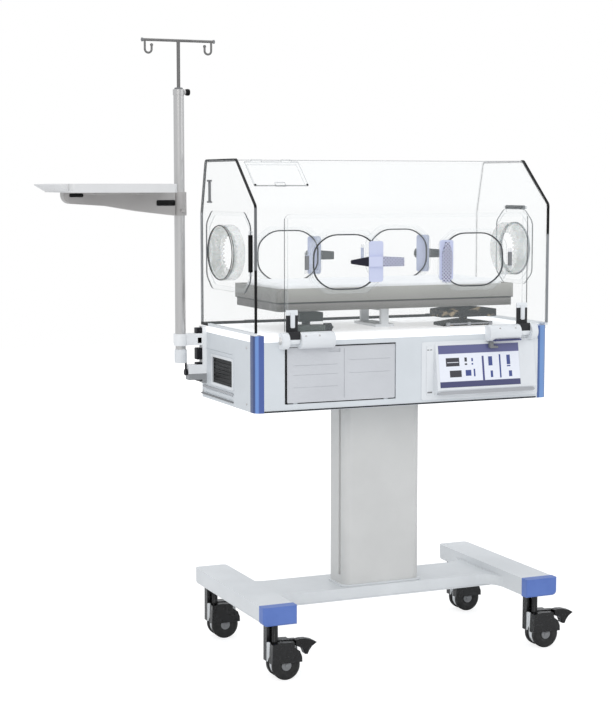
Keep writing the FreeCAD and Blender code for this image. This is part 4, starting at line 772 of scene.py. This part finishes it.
def dress_overlay(kit):
    """The console's film: white, with a purple band above, a navy band below, and plain marks."""
    film = Finish("console film", linear(238, 240, 248), 0.22)
    x, y, z = film.place()
    low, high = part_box("control_overlay")
    wide, tall = high[0] - low[0], high[2] - low[2]

    def patch(a0, a1, b0, b1):
        return (x.between(low[0] + a0 * wide, low[0] + a1 * wide, 0.0003)
                * z.between(low[2] + b0 * tall, low[2] + b1 * tall, 0.0003))
    colour = patch(0, 1, 0.80, 1.1).mix(linear(236, 239, 248), linear(96, 98, 142))
    colour = patch(0, 1, -0.1, 0.14).mix(colour, linear(70, 72, 112))
    colour = patch(0.53, 0.555, 0.14, 0.72).mix(colour, linear(74, 76, 130))
    dark = linear(58, 58, 66)
    navy = linear(62, 76, 138)
    marks = [(0.085, 0.25, 0.50, 0.70, dark), (0.125, 0.27, 0.24, 0.40, dark),
             (0.315, 0.345, 0.52, 0.70, dark), (0.40, 0.42, 0.52, 0.68, navy),
             (0.32, 0.39, 0.26, 0.40, navy), (0.42, 0.44, 0.24, 0.42, navy),
             (0.61, 0.66, 0.48, 0.70, navy), (0.63, 0.66, 0.20, 0.36, navy),
             (0.745, 0.765, 0.18, 0.74, navy), (0.84, 0.885, 0.44, 0.72, navy),
             (0.86, 0.90, 0.20, 0.34, navy)]
    for a0, a1, b0, b1, tint in marks:
        colour = patch(a0, a1, b0, b1).mix(colour, tint)
    for a0, a1, b0, b1 in ((0.30, 0.44, 0.56, 0.60), (0.84, 0.93, 0.47, 0.49),
                           (0.10, 0.24, 0.585, 0.60)):
        colour = patch(a0, a1, b0, b1).mix(colour, linear(236, 239, 248))
    film.set("Base Color", colour)
    film.set("Roughness", 0.18 + film.noise(80, 2) * 0.1)
    dress("control_overlay", film)


# Soft pieces

def padded_mattress(kit):
    """The mattress under its sheet: a pad filled out with cloth pressure, then held to shape."""
    low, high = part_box("mattress")
    tool = bmesh.new()
    size = [high[index] - low[index] - 0.012 for index in range(3)]
    middle = [(high[index] + low[index]) / 2 for index in range(3)]
    bmesh.ops.create_cube(tool, size=1)
    bmesh.ops.scale(tool, vec=size, verts=tool.verts)
    bmesh.ops.translate(tool, vec=middle, verts=tool.verts)
    bmesh.ops.bevel(tool, geom=list(tool.edges), offset=0.014, segments=4, profile=0.6,
                    affect="EDGES")
    mesh = bpy.data.meshes.new("mattress_pad")
    tool.to_mesh(mesh)
    tool.free()
    pad = bpy.data.objects.new("mattress_pad", mesh)
    bpy.context.scene.collection.objects.link(pad)
    remesh = pad.modifiers.new("remesh", "REMESH")
    remesh.mode = "VOXEL"
    remesh.voxel_size = 0.006
    pad.data = bpy.data.meshes.new_from_object(pad.evaluated_get(
        bpy.context.evaluated_depsgraph_get()))
    pad.modifiers.clear()
    rest = [vert.co.copy() for vert in pad.data.vertices]
    cloth = pad.modifiers.new("filling", "CLOTH")
    cloth.settings.quality = 6
    cloth.settings.mass = 0.2
    cloth.settings.use_pressure = True
    cloth.settings.uniform_pressure_force = 4
    cloth.settings.effector_weights.gravity = 0
    cloth.settings.shrink_min = -0.02
    cloth.point_cache.frame_start = 1
    cloth.point_cache.frame_end = 20
    scene = bpy.context.scene
    for moment in range(1, 21):
        scene.frame_set(moment)
    shaped = bpy.data.meshes.new_from_object(pad.evaluated_get(
        bpy.context.evaluated_depsgraph_get()))
    pad.modifiers.clear()
    pad.data = shaped
    scene.frame_set(1)
    for vert, start in zip(pad.data.vertices, rest):
        moved = vert.co - start
        if moved.length > 0.006:
            vert.co = start + moved.normalized() * 0.006
    for vert in pad.data.vertices:
        vert.co.x = min(max(vert.co.x, low[0] + 0.001), high[0] - 0.001)
        vert.co.y = min(max(vert.co.y, low[1] + 0.001), high[1] - 0.001)
        vert.co.z = min(max(vert.co.z, low[2] + 0.0005), high[2] + 0.006)
    smooth = pad.modifiers.new("smooth", "SUBSURF")
    smooth.levels = 1
    smooth.render_levels = 1
    finished(pad, kit["cloth"], "bed", 60)
    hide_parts("mattress")
    return pad


def sleeve_cuff(kit, side, face_x, mid_y, across, sign):
    """The pleated film cuff in an end port: folds run in from the ring to a drawn-up middle."""
    high, steps = 149, 96
    tool = bmesh.new()
    rows = []
    for row in range(7):
        part = row / 6
        depth = face_x - sign * 22 * math.sin(part * math.pi * 0.55)
        ringed = []
        for step in range(steps):
            angle = step / steps * 2 * math.pi
            wave = math.sin(step * math.pi / 2 + part * 0.6) * (0.5 + 3.2 * part)
            ringed.append(tool.verts.new(at(
                depth + sign * wave, mid_y + across / 2 * math.cos(angle) * (1 - 0.52 * part),
                CUFF_HEIGHT + high / 2 * math.sin(angle) * (1 - 0.36 * part))))
        rows.append(ringed)
    for here, there in zip(rows, rows[1:]):
        for step in range(steps):
            after = (step + 1) % steps
            tool.faces.new((here[step], here[after], there[after], there[step]))
    cuff = from_tool("sleeve_cuff_" + side, tool, kit["film"], "end_door_" + side, 80)
    thick = cuff.modifiers.new("film", "SOLIDIFY")
    thick.thickness = 0.0006
    return cuff


# Details on the stand

def chassis_details(kit):
    frame_outer = rounded(rectangle(-52, 120, 771, 860), 5, 2)
    frame_inner = rounded(rectangle(-45, 113, 779, 852), 3, 2)
    ring("window_frame", frame_outer, frame_inner, "x", -453.5, CHASSIS_END,
         kit["plastic"], "stand", 0.8)
    prism("window_ledge", rounded(rectangle(-50, 190, 757, 763), 2, 2), "x", -454,
          CHASSIS_END, kit["lip"], "stand")
    prism("lower_ledge", rounded(rectangle(-50, 205, 736, 740), 2, 2), "x", -454,
          CHASSIS_END, kit["grey"], "stand")
    screws("end_screws", [(CHASSIS_END, y, z) for y in (-150, 195) for z in (745, 900)], "-x", 3.2,
           kit["steel"], "stand")
    # A dark strip along the chassis's lower front edge, a painted shadow.
    tool = bmesh.new()
    add_block(tool, -424, 424, -213.4, CHASSIS_FRONT, 727.5, 731, 0.4)
    from_tool("bottom_shadow_strip", tool, kit["dark"], "stand")
    # Black strips in the gaps at the drawer's left end and top, painted shade inside the gaps.
    tool = bmesh.new()
    add_block(tool, -363.5, -357.4, -213.0, CHASSIS_FRONT, 748, 904.5, 0.3)
    add_block(tool, -357.4, -30, -213.0, CHASSIS_FRONT, 901.4, 904.5, 0.3)
    from_tool("drawer_gap_shade", tool, kit["black"], "stand")
    low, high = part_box("column")
    prism("column_collar", rounded(rectangle(-134, 134, -84, 40), 20, 5), "z", 718, 725.8,
          kit["grey"], "stand", 1.2)
    prism("column_foot", rounded(rectangle(-128, 128, -78, 34), 18, 5), "z", 189.3, 194,
          kit["paint"], "stand", 1.2)


def console_details(kit):
    outline = rounded(rectangle(66, 88, 752, 890), 4, 3)
    prism("console_strip", outline, "y", -215.6, -214.2, kit["plastic"], "stand", 0.5)
    marks = bmesh.new()
    for x in (68, 77):
        add_block(marks, x, x + 6, -216.2, -215.5, 878, 880.5, 0.2)
    add_block(marks, 69, 84, -216.2, -215.5, 757, 761, 0.3)
    from_tool("console_marks", marks, kit["grey"], "stand")
    lip = [(92, 753), (400, 753), (406, 758), (400, 762), (104, 761), (92, 758)]
    prism("console_lip", rounded(lip, 3, 3), "y", -240, -230, kit["lip"], "stand", 1.5)


def hinge_block_details(kit):
    tool = bmesh.new()
    add_block(tool, 268, 354, -247, -214, 899.5, 903.4, 1.0)
    from_tool("block_underside", tool, kit["navy"], "stand")
    hook = [(262, 896), (272, 896), (272, 884), (288, 884), (288, 878), (262, 878)]
    prism("block_hook", rounded(hook, 2, 2), "y", -230, -218, kit["grey"], "stand", 0.8)
    tool = bmesh.new()
    for x, sign in ((-382.5, -1), (408.5, 1)):
        add_lathe(tool, (x, -226, 922), "x", [(0, 11), (sign * 1.2, 10.4), (sign * 1.8, 6),
                                             (sign * 1.8, 3)], 24)
    from_tool("hinge_pin_caps", tool, kit["steel"], "stand", 50)
    screws("hinge_block_screws", [(x, -244.2, 934) for x in (-315, -275, 285, 335)], "-y", 3.4,
           kit["steel"], "stand")


def jack_details(kit):
    """A lead screw in three bearings on the deck, clear of the tilt post's travel."""
    tool = bmesh.new()
    for x in (172, 240, 310):
        add_block(tool, x - 5, x + 5, -147.6, -140.2, 936.2, 948, 0.8)
    add_lathe(tool, (168, -143.9, 943.5), "x", [(0, 2)] + [(along, 2.8 if index % 2 else 2.0)
              for index, along in enumerate(range(2, 146, 3))] + [(147, 2)], 12)
    from_tool("lead_screw", tool, kit["alloy"], "stand", 60)


def pole_details(kit):
    px, py = POLE_X, POLE_Y
    lathe("pole_socket", (px, py, 868), "z", [(-38, 13), (-38, 16), (-34, 18), (-2, 18),
                                              (1.5, 16.8), (1.5, 13)], kit["plastic"], "stand")
    tool = bmesh.new()
    for z, high in ((776, 26), (812, 18), (838, 34), (884, 20), (912, 18)):
        add_block(tool, -478, -462.2, 168, 194, z, z + high, 2.0)
    from_tool("rail_brackets", tool, kit["dark"], "stand")
    screws("rail_screws", [(-462.2, 181, z) for z in (806, 834, 878, 908, 932)], "-x", 3.0,
           kit["steel"], "stand")
    lathe("knob_grip", (px + 20.6, py, 1601), "x",
          [(0, 5), (0.8, 8.8), (4, 9.6), (9, 9.6), (11.6, 8.2), (12.4, 4)], kit["black"],
          "pole_lock_knob", 18, 25)
    tool = bmesh.new()
    for sign in (-1, 1):
        add_lathe(tool, (px + sign * 105, py, 1745), "x",
                  [(-sign * 1.5, 4.4), (sign * 0.5, 5.6), (sign * 3.4, 5.6), (sign * 4.6, 3.8)],
                  18)
    from_tool("crossbar_caps", tool, kit["grey"], "pole_rod", 50)
    lathe("rod_collar", (px, py, 1609.2), "z", [(0, 9), (0.2, 12), (3.4, 12), (5, 9), (5, 5.3)],
          kit["grey"], "stand")


def shelf_details(kit):
    py = POLE_Y
    prism("shelf_nose", [(-881.9, 1342.8), (-911, 1341.6), (-911, 1338.6), (-881.9, 1322)], "y",
          py - 120, py + 138, kit["shelf"], "shelf", 1.2)
    prism("arm_slot_far", rounded(rectangle(-852, -812, 1306, 1316), 4, 3), "y", py - 19.4,
          py - 18.1, kit["black"], "shelf", 0.5)
    prism("arm_slot_near", rounded(rectangle(-599, -543, 1281, 1297), 4, 3), "y", py - 19.4,
          py - 18.1, kit["black"], "shelf", 0.5)
    tool = bmesh.new()
    for y in (py - 60, py + 60):
        add_block(tool, -820, -620, y - 7, y + 7, 1313.5, 1318.8, 1.2)
    add_block(tool, -790, -760, py - 70, py + 70, 1312.5, 1318.8, 1.2)
    add_block(tool, -660, -630, py - 70, py + 70, 1312.5, 1318.8, 1.2)
    from_tool("shelf_rails", tool, kit["arm"], "shelf")
    screws("shelf_screws", [(x, y, 1322.2) for x in (-775, -645) for y in (py - 50, py + 50)],
           "+z", 3.6, kit["steel"], "shelf")


# Details on the hood

def hood_details(kit):
    # A grey line along the bend at the hood's top front edge, a painted reflection of the bend.
    tool = bmesh.new()
    add_tube(tool, [(-440, -68, 1407.6), (456, -68, 1407.6)], 0.9, 8)
    from_tool("ridge_reflection_line", tool, kit["soft_edge"], "hood", 60)
    tool = bmesh.new()
    add_block(tool, -456.5, -450.2, 120, 128, 1289, 1354, 1.0)
    add_block(tool, -460, -450.2, 112, 130, 1289, 1294, 1.0)
    add_block(tool, -460, -450.2, 112, 130, 1349, 1354, 1.0)
    from_tool("end_clip", tool, kit["grey"], "hood")
    tool = bmesh.new()
    upper, lower = Vector((0, -66, 1409)), Vector((0, -208, 1284))
    down = (lower - upper).normalized()
    out = Vector((0, down.z, -down.y))
    for x in (-423, -270):
        spot = upper + down * 108 + out * 4
        add_lathe(tool, (x, spot.y, spot.z), "x", [(-2.6, 1.6), (-2, 2.6), (2, 2.6), (2.6, 1.6)],
                  16)
    from_tool("flap_clips", tool, kit["black"], "hood_flap", 50)


def hinge_bars(kit):
    """Black covers over the end doors' hinge barrels."""
    lathe("left_hinge_cover", (-455.3, -194, 1157), "z",
          [(-50, 4), (-49.4, 6.2), (49.4, 6.2), (50, 4)], kit["black"], "end_door_left")
    lathe("right_hinge_cover", (467.3, -10, 1273), "y",
          [(-50, 4), (-49.4, 6.2), (49.4, 6.2), (50, 4)], kit["black"], "end_door_right")


def port_details(kit):
    """Seals round the ports, covers over the front ports' hinges, and bands round the cuffs."""
    for name, mid, low, high, body in (("front_left", -184, -216.8, -213.6, "front_panel"),
                                       ("front_right", 210, -216.8, -213.6, "front_panel"),
                                       ("rear_left", -176, 208.1, 211, "hood"),
                                       ("rear_right", 188, 208.1, 211, "hood")):
        outer = rounded(octagon(mid, PORT_HEIGHT, 196, 152, 46), 30, 4)
        inner = rounded(octagon(mid, PORT_HEIGHT, 189, 145, 44), 29, 4)
        ring("port_seal_" + name, outer, inner, "y", low, high, kit["rim"], body)
    for side, sign in (("left", -1), ("right", 1)):
        lathe("port_hinge_cover_" + side, (13 + sign * 315, -219.8, PORT_HEIGHT), "z",
              [(-19.6, 4), (-19, 6), (19, 6), (19.6, 4)], kit["grey"], "front_port_door_" + side)
    for side, face_x, mid_y, across, thick, finish in (
            ("left", -456.4, 38, 97, 1.3, "rim"), ("right", 467.6, -10, 82, 3.0, "band")):
        points = []
        for step in range(49):
            angle = step / 48 * 2 * math.pi
            points.append((face_x, mid_y + across * math.cos(angle),
                           CUFF_HEIGHT + 76 * math.sin(angle)))
        tube("cuff_band_" + side, points, thick, kit[finish], "end_door_" + side, 8)


def caster_details(kit):
    for key, sx, y in (("fl", -1, -246), ("fr", 1, -246), ("rl", -1, 222), ("rr", 1, 222)):
        x = sx * 409 + 24
        tool = bmesh.new()
        for side in (-1, 1):
            start = y + side * 25.5
            add_lathe(tool, (x, start, 40), "y",
                      [(0, 14), (side * 1.5, 14), (side * 2.4, 11), (side * 2.4, 6),
                       (side * 4.4, 5), (side * 5.0, 2)], 28)
        from_tool("hub_caps_" + key, tool, kit["grey"], "caster_%s_wheels" % key, 40)
        tool = bmesh.new()
        for side in (-1, 1):
            for line in (-3.4, 3.4):
                start = y + side * 19.5 + line
                add_lathe(tool, (x, start, 40), "y", [(-0.5, 39.2), (-0.5, 40.2), (0.5, 40.2),
                                                     (0.5, 39.2)], 48)
        from_tool("tread_beads_" + key, tool, kit["tread"], "caster_%s_wheels" % key, 40)


# Studio

def studio():
    scene = bpy.context.scene
    scene.view_settings.view_transform = "Standard"
    scene.cycles.transparent_max_bounces = 64
    world = bpy.data.worlds.new("studio")
    scene.world = world
    world.use_nodes = True
    tree = world.node_tree
    tree.nodes.clear()
    out = tree.nodes.new("ShaderNodeOutputWorld")
    path = Shade(tree, tree.nodes.new("ShaderNodeLightPath").outputs["Is Camera Ray"])
    room = path.node("Background", Color=(0.95, 0.97, 1.0, 1), Strength=0.82)
    seen = path.node("Background", Color=(1, 1, 1, 1), Strength=1.0)
    mixed = path.node("MixShader", i0=path, i1=room, i2=seen)
    tree.links.new(mixed.socket, out.inputs[0])

    floor_finish = Finish("studio floor", linear(244, 244, 244), 0.9)
    tree = floor_finish.tree
    light_path = floor_finish.start.node("LightPath")
    glow = light_path.node("Emission", Color=(1, 1, 1, 1), Strength=1.34)
    spot = floor_finish.spot()
    far = spot.node("VectorMath", {"operation": "LENGTH"}, out=1, i0=spot)
    fade = far.node("MapRange", {"interpolation_type": "SMOOTHSTEP"}, Value=far, From_Min=0.9,
                    From_Max=2.4)
    share = light_path * (fade * 0.42 + 0.58)
    both = light_path.node("MixShader", i0=share, i1=floor_finish.start, i2=glow)
    tree.links.new(both.socket, tree.nodes["Material Output"].inputs[0])
    half = 9.0
    verts = [(-half, -half, 0), (half, -half, 0), (half, half, 0), (-half, half, 0)]
    mesh_piece("studio_floor", verts, [(0, 1, 2, 3)], floor_finish, None)

    for name, place, size, power, tint in (
            ("key lamp", (-3.2, -4.6, 3.6), 2.6, 62, (1, 0.99, 0.97)),
            ("fill lamp", (3.8, -3.4, 2.4), 2.8, 18, (0.96, 0.98, 1)),
            ("top lamp", (0, 0.4, 4.2), 3.0, 34, (1, 1, 1))):
        lamp = bpy.data.lights.new(name, "AREA")
        lamp.size = size
        lamp.energy = power
        lamp.color = tint
        item = bpy.data.objects.new(name, lamp)
        item.location = place
        item.rotation_euler = (Vector((0, 0, 1.0)) - Vector(place)).to_track_quat(
            "-Z", "Y").to_euler()
        scene.collection.objects.link(item)

    camera_data = bpy.data.cameras.new("camera")
    camera_data.lens = 1697.6 * 36 / 720
    camera_data.sensor_width = 36
    camera_data.sensor_fit = "AUTO"
    camera_data.clip_end = 60
    camera = bpy.data.objects.new("camera", camera_data)
    camera.location = at(-2130.7, -4423.0, 1349.1)
    camera.rotation_euler = (math.radians(90 - 6.0), 0, math.radians(-23.5))
    scene.collection.objects.link(camera)
    scene.camera = camera


def main():
    kit = make_finishes()
    dress_solids(kit)
    padded_mattress(kit)
    sleeve_cuff(kit, "left", -449, 38, 193, -1)
    sleeve_cuff(kit, "right", 461, -10, 161, 1)
    chassis_details(kit)
    console_details(kit)
    hinge_block_details(kit)
    jack_details(kit)
    pole_details(kit)
    shelf_details(kit)
    hood_details(kit)
    hinge_bars(kit)
    port_details(kit)
    caster_details(kit)
    studio()


main()
